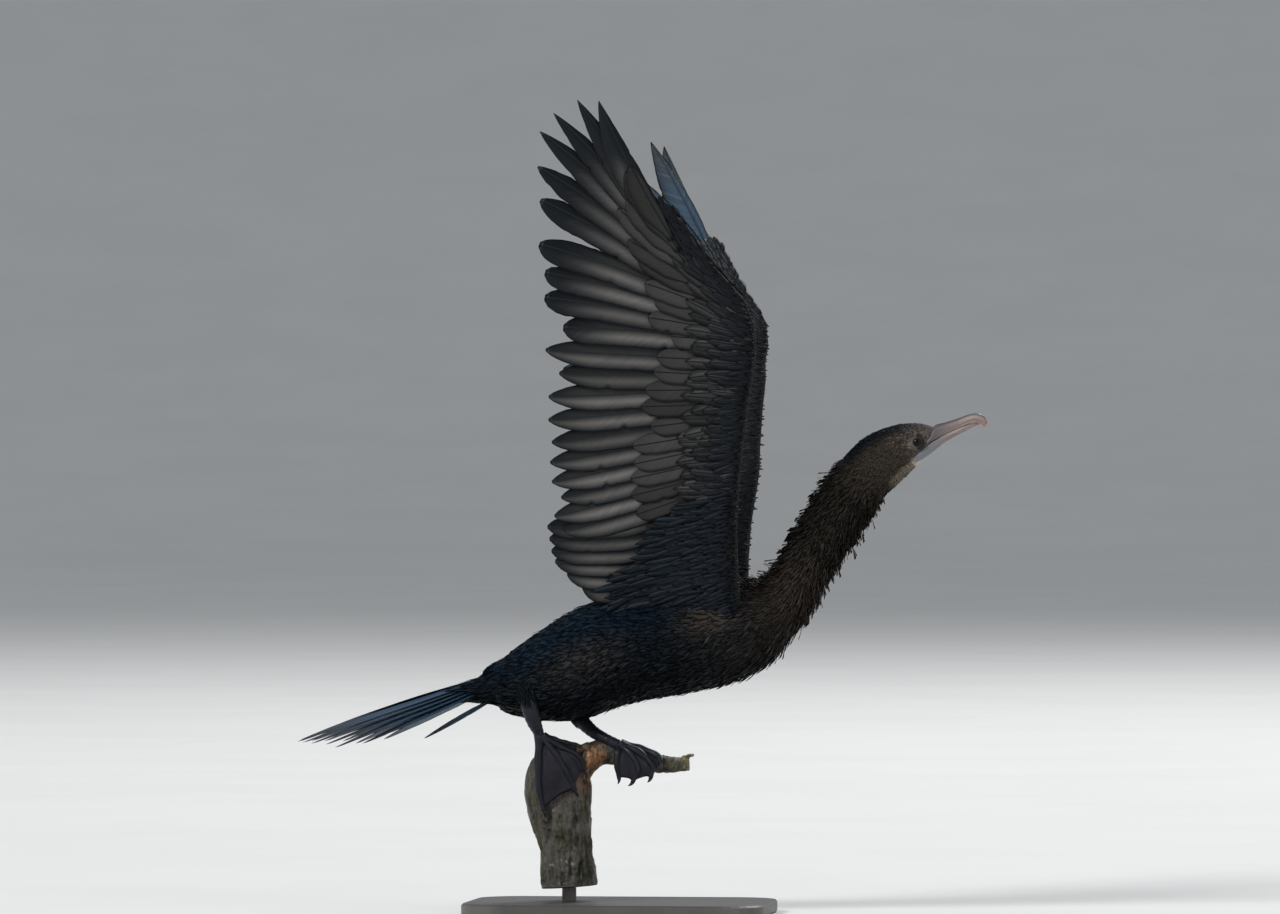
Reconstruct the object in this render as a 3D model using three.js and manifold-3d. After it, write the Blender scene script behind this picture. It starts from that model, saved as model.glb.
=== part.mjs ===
// A life-size little cormorant with both wings raised, perched on a broken branch over a display stand.
// Millimetres, +Z up, +X the way the bird faces, -Y the bird's right side.
// The origin is the middle of the stand's underside, on the floor.
import * as THREE from "three";
import { mergeVertices } from "three/addons/utils/BufferGeometryUtils.js";
import Module from "manifold-3d";

const wasm = await Module();
wasm.setup();

const GAP = 0.35; // clearance between sub-parts that touch
const DEGREE = Math.PI / 180;
const RIGHT = -1;
const LEFT = 1;

// Stand
const BASE = { length: 190, width: 130, thick: 8, corner: 28, bevel: 1.2 };
const ROD = { x: -32, radius: 4.5, rise: 8 };

// Spine of the body, neck and head, tail end first: [x, z, half depth, half width], sections square to it
const SPINE = [
  [-84, 139.8, 9, 16],
  [-77.5, 142.5, 14.3, 19.5],
  [-66.7, 143.2, 20.3, 25],
  [-50.4, 146.4, 27, 31],
  [-31.5, 152.2, 32, 35.5],
  [-8.8, 162, 34, 37.5],
  [14, 168.2, 34.8, 37.5],
  [38, 172.5, 35.4, 36],
  [59, 176.5, 34, 33],
  [76, 181, 30, 28.5],
  [89.5, 187.8, 24.5, 24],
  [100.4, 194.8, 19, 20],
  [109, 205, 16.4, 17],
  [116.6, 217.6, 15.6, 15.8],
  [126.2, 233.6, 16, 15.4],
  [137.4, 251.2, 16.6, 14.8],
  [149.4, 268.5, 17.6, 14.2],
  [162, 281.6, 18.4, 13.8],
  [175.5, 290.6, 15.8, 13],
  [187.2, 295.6, 12, 11],
  [196, 298.6, 8.6, 8.4],
  [201, 300.4, 6.4, 6.2],
];
const RING_SIDES = 20;
const NECK_CUT = { x: 96, z: 192, slope: 52 }; // where the neck leaves the torso
const NECK_SPLIT = { x: 126, z: 234, slope: 58 }; // half way up the neck
const HEAD_CUT = { x: 155, z: 275, slope: 40 }; // where the neck meets the head

const BILL_SIDES = 14;
// Bill: [x, z, half depth, half width]
const BILL = [
  [192, 295.8, 6.4, 6],
  [199, 299.3, 6.2, 5.8],
  [206, 302.6, 5.2, 4.9],
  [214, 306.1, 4.2, 3.9],
  [221, 309, 3.5, 3.2],
  [225.5, 309.9, 2.9, 2.8],
  [228.7, 308.6, 1.9, 1.9],
  [230, 306.4, 0.7, 0.7],
];
const MOUTH = [
  [176, 279.4],
  [184.4, 285.6],
  [189.6, 290.2],
  [195.8, 294.9],
  [204.7, 299.9],
  [212.8, 303.7],
  [221, 307],
  [224.6, 306],
  [226.6, 302],
];
const MOUTH_SLIT = 0.35;
const EYE = { x: 187.2, z: 294.6, y: 8.1, radius: 3.3 };
const LID = { thick: 0.8, out: 1.7, turn: 12 }; // ring round each eye, turned by so many degrees

// Wing, laid out on its own sheet: a runs up the span from the shoulder, b forward along the chord
const SHOULDER = { x: 75.6, y: 24, z: 202 };
const WING_LEAN = { [RIGHT]: 15, [LEFT]: 24.5 }; // degrees outward from upright
const WING_SWAY = { [RIGHT]: 0, [LEFT]: -12 }; // how far the wrist is swung forward
const WRIST = { a: 161, b: 0 };
const ELBOW = { a: 65, b: -21 };
const HAND_TIP = { a: 227, b: -31 };
// Flight feathers: length, and degrees from the span line, innermost primary first, outermost secondary first
const PRIMARY_LENGTH = [102, 111, 109, 112, 117, 123, 129, 124, 114, 99];
const PRIMARY_ANGLE = [84, 78, 73, 67.5, 57, 50.8, 44, 38.6, 31.2, 25.5];
const NINTH_CLOSED = { [RIGHT]: 0, [LEFT]: 4.4 }; // how far the ninth primary closes on the tenth
const PRIMARY_BOW = [1, 1.3, 1.6, 2, 2.4, 2.8, 3, 2.6, 1, -2.5];
const SECONDARY_LENGTH = [110, 100, 105, 104, 101, 101, 99, 92, 95, 88];
const SECONDARY_ANGLE = [86, 89, 92, 95, 98, 100, 102, 103.5, 104.5, 106];
const TERTIAL_LENGTH = [78, 74, 70, 50];
const TERTIAL_ANGLE = [91, 89, 87, 86];
const PRIMARY_STACK = 2.8; // how far the outermost primary lies below the innermost one
const VANE_THICK = 0.5;
const QUILL_THICK = 0.9;
const SHINGLE = 0.16; // sideways tilt of each vane, as a slope
const SHINGLE_SMALL = 0.11;

// Tail
const TAIL_ROOT = { x: -78, z: 147 };
const TAIL_SLOPE = 16; // degrees below level
const TAIL_DROOP = 6; // how far the tips bend down from that line
// One loose feather under the fan
const STRAY = { root: [0, -3], angle: 18, length: 54, inner: 2.2, outer: 2.2, lift: -11, rise: -12 };
const TAIL_LENGTH = [131, 128, 124, 118, 108, 94];
const TAIL_FAN = { first: 2.6, step: 4.4, apart: 1.1, buried: 10 }; // first and step in degrees
// How the outer feathers lie below the middle pair, and one of the pair under the other
const TAIL_ROOF = { lift: 2.4, step: 1.25, droop: 0.95, pair: 0.8 };
const TAIL_VANE = { near: 5.8, far: 6.6 };
// Root of the tail under its coverts: [x, z, half depth, half width]
const RUMP = [
  [-70, 144, 11, 13],
  [-86, 139.6, 10, 13],
  [-98, 137.4, 6, 11],
  [-110, 134.4, 2.4, 7],
];

// Small seeded generator, so that each run varies the parts in the same way
function seeded(seed) {
  let state = seed;
  return () => {
    state = (state * 1664525 + 1013904223) % 4294967296;
    return state / 4294967296;
  };
}

function mix(low, high, share) {
  return low + (high - low) * share;
}

function ramp(value, start, end) {
  return Math.min(1, Math.max(0, (value - start) / (end - start)));
}

// Builds a solid from points and triangles, turned so that its faces point out
function solid(points, faces) {
  let volume = 0;
  for (const [a, b, c] of faces) {
    volume += points[a].dot(new THREE.Vector3().crossVectors(points[b], points[c]));
  }
  const turned = volume < 0 ? faces.map(([a, b, c]) => [a, c, b]) : faces;
  const geometry = new THREE.BufferGeometry().setFromPoints(points);
  geometry.setIndex(turned.flat());
  const merged = mergeVertices(geometry, 1e-4);
  return new wasm.Manifold(
    new wasm.Mesh({
      numProp: 3,
      vertProperties: new Float32Array(merged.attributes.position.array),
      triVerts: new Uint32Array(merged.index.array),
    }),
  );
}

// Turns a closed three.js geometry into a solid
function fromGeometry(geometry) {
  const bare = geometry.clone();
  bare.deleteAttribute("normal");
  bare.deleteAttribute("uv");
  const merged = mergeVertices(bare, 1e-4);
  return new wasm.Manifold(
    new wasm.Mesh({
      numProp: 3,
      vertProperties: new Float32Array(merged.attributes.position.array),
      triVerts: new Uint32Array(merged.index.array),
    }),
  );
}

function largest(made) {
  return made.decompose().reduce((best, one) => (one.volume() > best.volume() ? one : best));
}

// Fuses pieces that grow from one another and keeps the one closed body
function fused(pieces) {
  return largest(wasm.Manifold.union(pieces));
}

// Skins a row of closed rings and closes both ends on a middle point
function loft(rings) {
  const sides = rings[0].length;
  const points = rings.flat();
  const faces = [];
  for (let i = 0; i + 1 < rings.length; i++) {
    for (let j = 0; j < sides; j++) {
      const a = i * sides + j;
      const b = i * sides + ((j + 1) % sides);
      faces.push([a, b, a + sides], [b, b + sides, a + sides]);
    }
  }
  [0, rings.length - 1].forEach((end) => {
    const middle = new THREE.Vector3();
    rings[end].forEach((p) => middle.addScaledVector(p, 1 / sides));
    points.push(middle);
    for (let j = 0; j < sides; j++) {
      const a = end * sides + j;
      const b = end * sides + ((j + 1) % sides);
      faces.push(end ? [a, b, points.length - 1] : [b, a, points.length - 1]);
    }
  });
  return solid(points, faces);
}

// Closes two like grids of points, split into triangles alike, with a wall round the rim
function plate(top, bottom) {
  const rows = top.length;
  const columns = top[0].length;
  const half = rows * columns;
  const points = [...top.flat(), ...bottom.flat()];
  const faces = [];
  for (let i = 0; i + 1 < rows; i++) {
    for (let j = 0; j + 1 < columns; j++) {
      const a = i * columns + j;
      const quad = [[a, a + 1, a + columns], [a + 1, a + columns + 1, a + columns]];
      quad.forEach(([p, q, r]) => faces.push([p, q, r], [half + p, half + r, half + q]));
    }
  }
  const rim = [];
  for (let j = 0; j < columns - 1; j++) rim.push(j);
  for (let i = 0; i < rows - 1; i++) rim.push(i * columns + columns - 1);
  for (let j = columns - 1; j > 0; j--) rim.push((rows - 1) * columns + j);
  for (let i = rows - 1; i > 0; i--) rim.push(i * columns);
  rim.forEach((a, k) => {
    const b = rim[(k + 1) % rim.length];
    faces.push([a, half + a, b], [b, half + a, half + b]);
  });
  return solid(points, faces);
}

// A round rod of changing thickness along a smooth line: each knot is [x, y, z, radius]
function limb(knots, sides, steps, swell = 0) {
  const curve = new THREE.CatmullRomCurve3(knots.map(([x, y, z]) => new THREE.Vector3(x, y, z)));
  const rings = [];
  const side = new THREE.Vector3(0, 1, 0);
  for (let i = 0; i <= steps; i++) {
    const share = i / steps;
    const spot = share * (knots.length - 1);
    const knot = Math.min(Math.floor(spot), knots.length - 2);
    const radius = mix(knots[knot][3], knots[knot + 1][3], spot - knot) + swell;
    const along = curve.getTangent(share);
    const middle = curve.getPoint(share);
    if (i === 0) middle.addScaledVector(along, -swell);
    if (i === steps) middle.addScaledVector(along, swell);
    const first = new THREE.Vector3().crossVectors(along, side).normalize();
    const second = new THREE.Vector3().crossVectors(along, first).normalize();
    rings.push(
      Array.from({ length: sides }, (_, j) => {
        const turn = (j / sides) * 2 * Math.PI;
        return middle
          .clone()
          .addScaledVector(first, radius * Math.cos(turn))
          .addScaledVector(second, radius * Math.sin(turn));
      }),
    );
  }
  return loft(rings);
}

// Oval sections square to a line in the XZ plane: each station is [x, z, half depth, half width]
function ovals(stations, sides, grow = 0) {
  const rings = stations.map(([x, z, depth, width], i) => {
    const before = stations[Math.max(i - 1, 0)];
    const after = stations[Math.min(i + 1, stations.length - 1)];
    const slope = Math.atan2(after[1] - before[1], after[0] - before[0]);
    const shift = (i === 0 ? -grow : 0) + (i === stations.length - 1 ? grow : 0);
    return Array.from({ length: sides }, (_, j) => {
      const turn = (j / sides) * 2 * Math.PI;
      const up = (depth + grow) * Math.cos(turn);
      const across = (width + grow) * Math.sin(turn);
      return new THREE.Vector3(
        x + shift * Math.cos(slope) - up * Math.sin(slope),
        across,
        z + shift * Math.sin(slope) + up * Math.cos(slope),
      );
    });
  });
  return loft(rings);
}

// The half of a solid past a plane square to the given slope in the XZ plane
function past(made, cut, sign, clear = GAP / 2) {
  const normal = [Math.cos(cut.slope * DEGREE) * sign, 0, Math.sin(cut.slope * DEGREE) * sign];
  return made.trimByPlane(normal, cut.x * normal[0] + cut.z * normal[2] + clear);
}

const shown = new THREE.Group();

function addNode(name, made, material) {
  const mesh = largest(made).getMesh();
  const geometry = new THREE.BufferGeometry();
  geometry.setAttribute("position", new THREE.BufferAttribute(mesh.vertProperties, 3));
  geometry.setIndex(new THREE.BufferAttribute(mesh.triVerts, 1));
  geometry.computeVertexNormals();
  const part = new THREE.Mesh(geometry, material);
  part.name = name;
  shown.add(part);
}

function paint(color, roughness, metalness = 0) {
  return new THREE.MeshStandardMaterial({ color, roughness, metalness });
}

const plumage = paint(0x16171b, 0.55);
const flightFeather = paint(0x2a2b2e, 0.45);
const hornBill = paint(0xb9a39a, 0.4);
const eyeGlass = paint(0x0c0b0a, 0.08);
const footSkin = paint(0x1d1c22, 0.35);
const clawHorn = paint(0x0f0e10, 0.3);
const wetWood = paint(0x4a4130, 0.8);
const standMetal = paint(0x232323, 0.45, 0.6);

// Stand: a flat base with rounded corners and bevelled edges, and one short rod up to the cut branch
function standBase() {
  const { length, width, thick, corner, bevel } = BASE;
  const outline = new THREE.Shape();
  const x = length / 2 - corner - bevel;
  const y = width / 2 - corner - bevel;
  outline.absarc(x, y, corner, 0, Math.PI / 2);
  outline.absarc(-x, y, corner, Math.PI / 2, Math.PI);
  outline.absarc(-x, -y, corner, Math.PI, 1.5 * Math.PI);
  outline.absarc(x, -y, corner, 1.5 * Math.PI, 2 * Math.PI);
  const block = new THREE.ExtrudeGeometry(outline, {
    depth: thick - 2 * bevel,
    bevelThickness: bevel,
    bevelSize: bevel,
    bevelSegments: 1,
    curveSegments: 4,
  });
  block.translate(0, 0, bevel);
  return fromGeometry(block);
}

function standRod() {
  const rod = new THREE.CylinderGeometry(ROD.radius, ROD.radius, ROD.rise, 16);
  rod.rotateX(Math.PI / 2);
  rod.translate(ROD.x, 0, BASE.thick + GAP + ROD.rise / 2);
  return fromGeometry(rod);
}

addNode("stand_base", standBase(), standMetal);
addNode("stand_rod", standRod(), standMetal);

// Perch: a rough upright stem, cut flat underneath, with one side branch and a broken twig
const STEM_FOOT = BASE.thick + ROD.rise + 2 * GAP;
const STEM = [
  [-31.8, STEM_FOOT, 18],
  [-32.6, 28, 17.4],
  [-33.6, 40, 16.6],
  [-35.4, 50, 17.8],
  [-37, 60, 19.4],
  [-38.6, 70, 20.6],
  [-39, 79, 21],
  [-38, 87, 20],
  [-35.5, 94, 17.5],
  [-32.5, 99, 13],
];
const BRANCH = [
  [-33, 0, 84, 12],
  [-24, 0, 95, 10.5],
  [-12.6, 1, 101, 8.4],
  [0, 2, 99.6, 7],
  [14, 3, 95.6, 6.2],
  [29, 4, 93.4, 5.4],
  [43, 5, 94, 4.4],
];
const TWIG = [
  [36, 4.5, 95, 2.4],
  [41, 5, 98, 1.8],
  [46, 6, 99.4, 1],
];

function perch() {
  const random = seeded(7);
  const sides = 18;
  const ridge = Array.from({ length: sides }, () => (random() - 0.5) * 0.13);
  const rings = STEM.map(([x, z, radius], i) =>
    Array.from({ length: sides }, (_, j) => {
      const turn = (j / sides) * 2 * Math.PI + i * 0.06;
      const rough = 1 + ridge[j] + (random() - 0.5) * 0.05;
      return new THREE.Vector3(x + radius * rough * Math.cos(turn), radius * rough * Math.sin(turn), z);
    }),
  );
  return fused([loft(rings), limb(BRANCH, 10, 12), limb(TWIG, 6, 3)]);
}

// Feet: each toe is a row of [x, y, z, radius] knots, outermost front toe last
const WEB_THICK = 0.9;
const WEB_SCALLOP = 0.04; // how far a web's edge curves in between two toes
const CLAW_CURL = 1.6;
const LEG_SIDES = 10;

const RIGHT_FOOT = {
  name: "right",
  leg: [
    [-58, -14, 150, 5.6],
    [-55.8, -24.5, 141, 5.8],
    [-54, -28.2, 133, 5.3],
    [-51, -26.2, 121.5, 4.6],
    [-48.4, -23, 114, 3.3],
    [-47.6, -22, 109, 3.3],
  ],
  toes: [
    [[-47.5, -22, 112, 3.2], [-48.6, -22.6, 94, 2.5], [-48.2, -21, 78, 2.2], [-45.4, -19.8, 65, 1.6]],
    [[-46.3, -22, 111.5, 2.8], [-37.5, -22.6, 101, 2], [-31, -20.4, 89.5, 1.8], [-25.6, -17.4, 77.5, 1.4]],
    [[-45.6, -22, 111.5, 2.6], [-35, -20.6, 105.2, 1.9], [-24.5, -15.4, 99.5, 1.6], [-20.4, -12.4, 90, 1.3]],
    [[-45, -21.6, 111.5, 2.4], [-35.5, -17.4, 108.4, 1.6], [-26, -12.4, 106, 1.3]],
  ],
  claw: 6.6,
};
const LEFT_FOOT = {
  name: "left",
  leg: [
    [-37, 18, 131.6, 6.4],
    [-30.5, 12.5, 126.6, 5.4],
    [-25, 7, 120.4, 4.7],
    [-17.8, 2.4, 114.2, 4],
    [-9.4, -2, 109.6, 3.6],
    [-0.8, -3.8, 105.8, 3.4],
  ],
  toes: [
    [[0, -4, 105.4, 2.6], [-0.6, -8.8, 100.6, 1.9], [-1, -9.4, 92.5, 1.5], [0.4, -7.4, 84.6, 1.2]],
    [[0.4, -4, 105.8, 2.8], [8, -7.6, 100, 2], [12.4, -8, 91, 1.7], [8.6, -6.4, 82.4, 1.3]],
    [[0.8, -4, 106, 3], [12.6, -5.6, 101.4, 2.2], [21, -6.4, 93.4, 1.9], [20, -5.6, 85.4, 1.4]],
    [[1, -3, 106.2, 3], [13.4, -1.8, 103.4, 2.3], [23.6, -3.8, 99.4, 2], [26.4, -5, 94.4, 1.5]],
  ],
  claw: 4.4,
};
const FEET = [RIGHT_FOOT, LEFT_FOOT];

// A web is a curved sheet between two neighbouring toes
function sheetBetween(first, second, grow) {
  const rows = 4;
  const steps = 3;
  const [one, two] = [first, second].map(
    (toe) => new THREE.CatmullRomCurve3(toe.map(([x, y, z]) => new THREE.Vector3(x, y, z))),
  );
  const grid = [];
  for (let i = 0; i <= rows; i++) {
    const row = [];
    for (let j = 0; j <= steps; j++) {
      const across = j / steps;
      const scallop = 1 - WEB_SCALLOP * Math.sin(Math.PI * across);
      const along = mix(0.04, 0.96 * scallop + 0.03 * grow, i / rows);
      row.push(one.getPoint(along).lerp(two.getPoint(along), across));
    }
    grid.push(row);
  }
  const normals = grid.map((row, i) =>
    row.map((_, j) => {
      const down = grid[Math.min(i + 1, rows)][j].clone().sub(grid[Math.max(i - 1, 0)][j]);
      const across = row[Math.min(j + 1, steps)].clone().sub(row[Math.max(j - 1, 0)]);
      return down.cross(across).normalize();
    }),
  );
  const off = (h) => grid.map((row, i) => row.map((p, j) => p.clone().addScaledVector(normals[i][j], h)));
  return plate(off(WEB_THICK / 2 + grow), off(-WEB_THICK / 2 - grow));
}

function sole({ toes }, grow = 0) {
  const rods = toes.map((toe) => limb(toe, 7, 5, grow));
  const webs = toes.slice(1).map((toe, i) => sheetBetween(toes[i], toe, grow));
  return fused([...rods, ...webs]);
}

function shank({ leg }, grow = 0) {
  return limb(leg, LEG_SIDES, 7, grow);
}

// The line on which a claw curves on from the end of its toe, thinned between the two given shares
function clawKnots(toe, length, shares, thin) {
  const end = new THREE.Vector3(...toe.at(-1).slice(0, 3));
  const before = new THREE.Vector3(...toe.at(-2).slice(0, 3));
  const along = end.clone().sub(before).normalize();
  const inward = new THREE.Vector3(0, 1, 0).addScaledVector(along, -along.y).normalize();
  return shares.map((share) => {
    const p = end
      .clone()
      .addScaledVector(along, GAP + share * length)
      .addScaledVector(inward, share * share * CLAW_CURL);
    return [p.x, p.y, p.z, toe.at(-1)[3] * mix(thin[0], thin[1], share)];
  });
}

function claw(toe, length) {
  return limb(clawKnots(toe, length, [0, 0.35, 0.7, 1], [0.9, 0.18]), 6, 3);
}

// The room a claw takes in the wood under it, from inside its toe to just past its point
function clawRoom(toe, length) {
  return limb([toe.at(-1), ...clawKnots(toe, length, [0.5, 1.08], [1, 0.4])], 6, 3, GAP);
}

const body = ovals(SPINE, RING_SIDES);
const bodyFat = ovals(SPINE, RING_SIDES, GAP);

let perchWood = perch();
FEET.forEach((foot) => {
  perchWood = perchWood.subtract(sole(foot, GAP)).subtract(shank(foot, GAP));
  foot.toes.forEach((toe) => {
    perchWood = perchWood.subtract(clawRoom(toe, foot.claw));
  });
});
addNode("perch_stem", perchWood, wetWood);

FEET.forEach((foot) => {
  addNode("foot_" + foot.name, sole(foot), footSkin);
  addNode("leg_" + foot.name, shank(foot).subtract(bodyFat).subtract(sole(foot, GAP)), footSkin);
  foot.toes.forEach((toe, i) => addNode("claw_" + foot.name + "_" + (4 - i), claw(toe, foot.claw), clawHorn));
});

// Bill: one loft, parted along the mouth line
const billWhole = ovals(BILL, BILL_SIDES);
const mouthFace = (shift, rise) =>
  MOUTH.map(([x, z]) => [-8, 8].map((y) => new THREE.Vector3(x + shift, y, z + rise)));
const parted = billWhole
  .subtract(plate(mouthFace(0, MOUTH_SLIT / 2), mouthFace(-0.1, -MOUTH_SLIT / 2)))
  .decompose()
  .sort((p, q) => q.volume() - p.volume())
  .slice(0, 2)
  .sort((p, q) => q.boundingBox().max[2] - p.boundingBox().max[2]);
addNode("bill_upper", parted[0], hornBill);
addNode("bill_lower", parted[1], hornBill);

// Eyes and lids
function ball(x, y, z, radius) {
  const sphere = new THREE.IcosahedronGeometry(radius, 2);
  sphere.translate(x, y, z);
  return fromGeometry(sphere);
}

function lidRing(side) {
  const ring = new THREE.TorusGeometry(EYE.radius, LID.thick, 6, 16);
  ring.rotateX(Math.PI / 2);
  ring.rotateZ(-side * LID.turn * DEGREE);
  ring.translate(EYE.x, side * (EYE.y + LID.out), EYE.z);
  return fromGeometry(ring);
}

addNode("eye_right", ball(EYE.x, -EYE.y, EYE.z, EYE.radius), eyeGlass);
addNode("eye_left", ball(EYE.x, EYE.y, EYE.z, EYE.radius), eyeGlass);

const socket = (side) => ball(EYE.x, side * EYE.y, EYE.z, EYE.radius + GAP);
const headWhole = past(body, HEAD_CUT, 1);
const head = fused([headWhole, lidRing(RIGHT), lidRing(LEFT)])
  .subtract(socket(RIGHT))
  .subtract(socket(LEFT))
  .subtract(ovals(BILL, BILL_SIDES, GAP));
addNode("head", head, plumage);
addNode("neck_upper", past(past(body, NECK_SPLIT, 1), HEAD_CUT, -1), plumage);
addNode("neck_lower", past(past(body, NECK_CUT, 1), NECK_SPLIT, -1), plumage);
addNode("torso", past(body, NECK_CUT, -1), plumage);

// Feather shapes: [share of the length, share of the full width] from quill to tip
const POINTED = [[0, 0.3], [0.2, 0.5], [0.5, 1], [0.8, 0.78], [1, 0.12]];
const ROUNDED = [[0, 0.3], [0.2, 0.5], [0.5, 1], [0.88, 0.86], [1, 0.34]];
const BROAD = [[0, 0.8], [0.4, 1], [0.86, 0.88], [1, 0.36]];
const SMALL = [[0, 0.4], [0.64, 1], [1, 0.34]];

// One flat feather. spot(a, b, h) places a point of its sheet in space, h off the sheet
function vane(spot, feather) {
  const { root, angle, length, inner, outer, shape, bow = 0, lift = 0, rise = 0, tilt, quill } = feather;
  const step = [Math.cos(angle * DEGREE), -Math.sin(angle * DEGREE)];
  const out = [Math.sin(angle * DEGREE), Math.cos(angle * DEGREE)];
  const top = [];
  const under = [];
  shape.forEach(([share, wide]) => {
    const along = share * length;
    const shift = bow * 4 * share * (1 - share);
    const across = quill ? [-inner * wide, 0, outer * wide] : [-inner * wide, outer * wide];
    const rows = [[], []];
    across.forEach((t) => {
      const a = root[0] + step[0] * along + out[0] * (shift + t);
      const b = root[1] + step[1] * along + out[1] * (shift + t);
      const middle = lift + rise * share - tilt * t;
      const half = (t === 0 ? mix(QUILL_THICK, VANE_THICK, share) : VANE_THICK) / 2;
      rows[0].push(spot(a, b, middle + half));
      rows[1].push(spot(a, b, middle - half));
    });
    top.push(rows[0]);
    under.push(rows[1]);
  });
  return plate(top, under);
}

// The wing's sheet: leaned outward, hollow underneath, its tip bent out
function wingSpot(side) {
  const lean = WING_LEAN[side] * DEGREE;
  const span = new THREE.Vector3(0, side * Math.sin(lean), Math.cos(lean));
  const beneath = new THREE.Vector3(0, side * Math.cos(lean), -Math.sin(lean));
  return (a, b, h) => {
    const behind = Math.max(0, -b - 12) / 105;
    const ahead = Math.max(0, b + 12) / 28;
    const beyond = Math.max(0, a - 80) / 237;
    const hollow = 9 * behind * behind + 2 * ahead * ahead + 9 * beyond * beyond;
    const swing = ramp(a, ELBOW.a + 15, WRIST.a) - 1.17 * ramp(a, WRIST.a, HAND_TIP.a);
    return new THREE.Vector3(SHOULDER.x + b + swing * WING_SWAY[side], side * SHOULDER.y, SHOULDER.z)
      .addScaledVector(span, a)
      .addScaledVector(beneath, h + hollow);
  };
}

// The fleshy part of the wing: chords [a, rear b, front b, half thickness], b at the sheet's own line
function wingCore(spot, chords, grow = 0) {
  const shares = [0, 0.2, 0.46, 0.72, 0.9, 1];
  const depth = [0.3, 0.66, 0.88, 1, 0.78, 0.24];
  const top = [];
  const under = [];
  chords.forEach(([rearA, rearB, frontA, frontB, half, middle = 0], i) => {
    const shift = (i === 0 ? -grow : 0) + (i === chords.length - 1 ? grow : 0);
    const face = (sign) =>
      shares.map((share, k) =>
        spot(
          mix(rearA, frontA, share) + shift,
          mix(rearB - grow, frontB + grow, share),
          middle + sign * (half * depth[k] + grow),
        ),
      );
    top.push(face(1));
    under.push(face(-1));
  });
  return plate(top, under);
}

// Each chord is [rear a, rear b, front a, front b, half thickness, height of its middle]
const INNER_CHORDS = [
  [-16, -74, -20, 6, 8],
  [0, -66, 0, 4, 8],
  [14, -60, 20, 2, 7.4],
  [26, -54, 44, 1, 6.6],
  [44, -46, 71, 4, 5.6],
];
const FOREARM_CHORDS = [
  [44.8, -46, 71.8, 4, 5.6],
  [72, -44, 94, 7, 5.2],
  [104, -38, 122, 11, 5],
  [134, -34, 146, 15.4, 4.9],
  [156, -34, 157, 16.4, 4.8],
];
const HAND_CHORDS = [
  [156.6, -34, 157.6, 16.4, 4.8],
  [172, -34, 176, 15.4, 4.6, 0.2],
  [186, -38, 196, 4, 4.4, 0.5],
  [204, -44, 215, -13, 4, 0.9],
  [226, -44, 234, -24.5, 3.2, 1.4],
];

const PRIMARY = { inner: 11.5, outer: 6.5 };
const SECONDARY = { inner: 9.6, outer: 7.6 };
const TERTIAL = { inner: 9, outer: 8, lift: -3.4 };
const TERTIAL_ROOTS = [{ a: 42, b: -38 }, { a: 3, b: -46 }];
// The two feathers of the thumb, on the hand's front edge
const THUMB = [
  { root: [174, 11.5], angle: 26, length: 52, lift: 3 },
  { root: [170, 13], angle: 22, length: 38, lift: 4.4 },
];
const THUMB_VANE = { tilt: 0.05, inner: 4.6, outer: 3 };
const COVERT_TIERS = [
  { reach: 0.44, lift: 3.3, wide: 0.62, back: 0 },
  { reach: 0.27, lift: 5.1, wide: 0.6, back: 3 },
];

// The tiers of coverts over a flight feather's quill, on both faces of the wing
function covertsOver(spot, flight, tiers) {
  return tiers.flatMap((tier) =>
    [1, -1].map((face) =>
      vane(spot, {
        ...flight,
        root: [flight.root[0], flight.root[1] + tier.back],
        shape: SMALL,
        quill: false,
        bow: 0,
        lift: (face > 0 ? flight.lift : flight.lift * 0.4) + face * tier.lift,
        tilt: SHINGLE_SMALL,
        length: flight.length * tier.reach,
        inner: flight.inner * tier.wide,
        outer: flight.outer * tier.wide * 1.25,
      }),
    ),
  );
}

// A row of feathers with their roots evenly along a line and their own lengths and angles
function flightRow(start, end, lengths, angles, form) {
  return lengths.map((length, i) => {
    const share = i / (lengths.length - 1);
    return {
      root: [mix(start.a, end.a, share), mix(start.b, end.b, share)],
      angle: angles[i],
      length,
      lift: 0,
      tilt: SHINGLE,
      quill: true,
      ...form(share, i),
    };
  });
}

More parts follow.
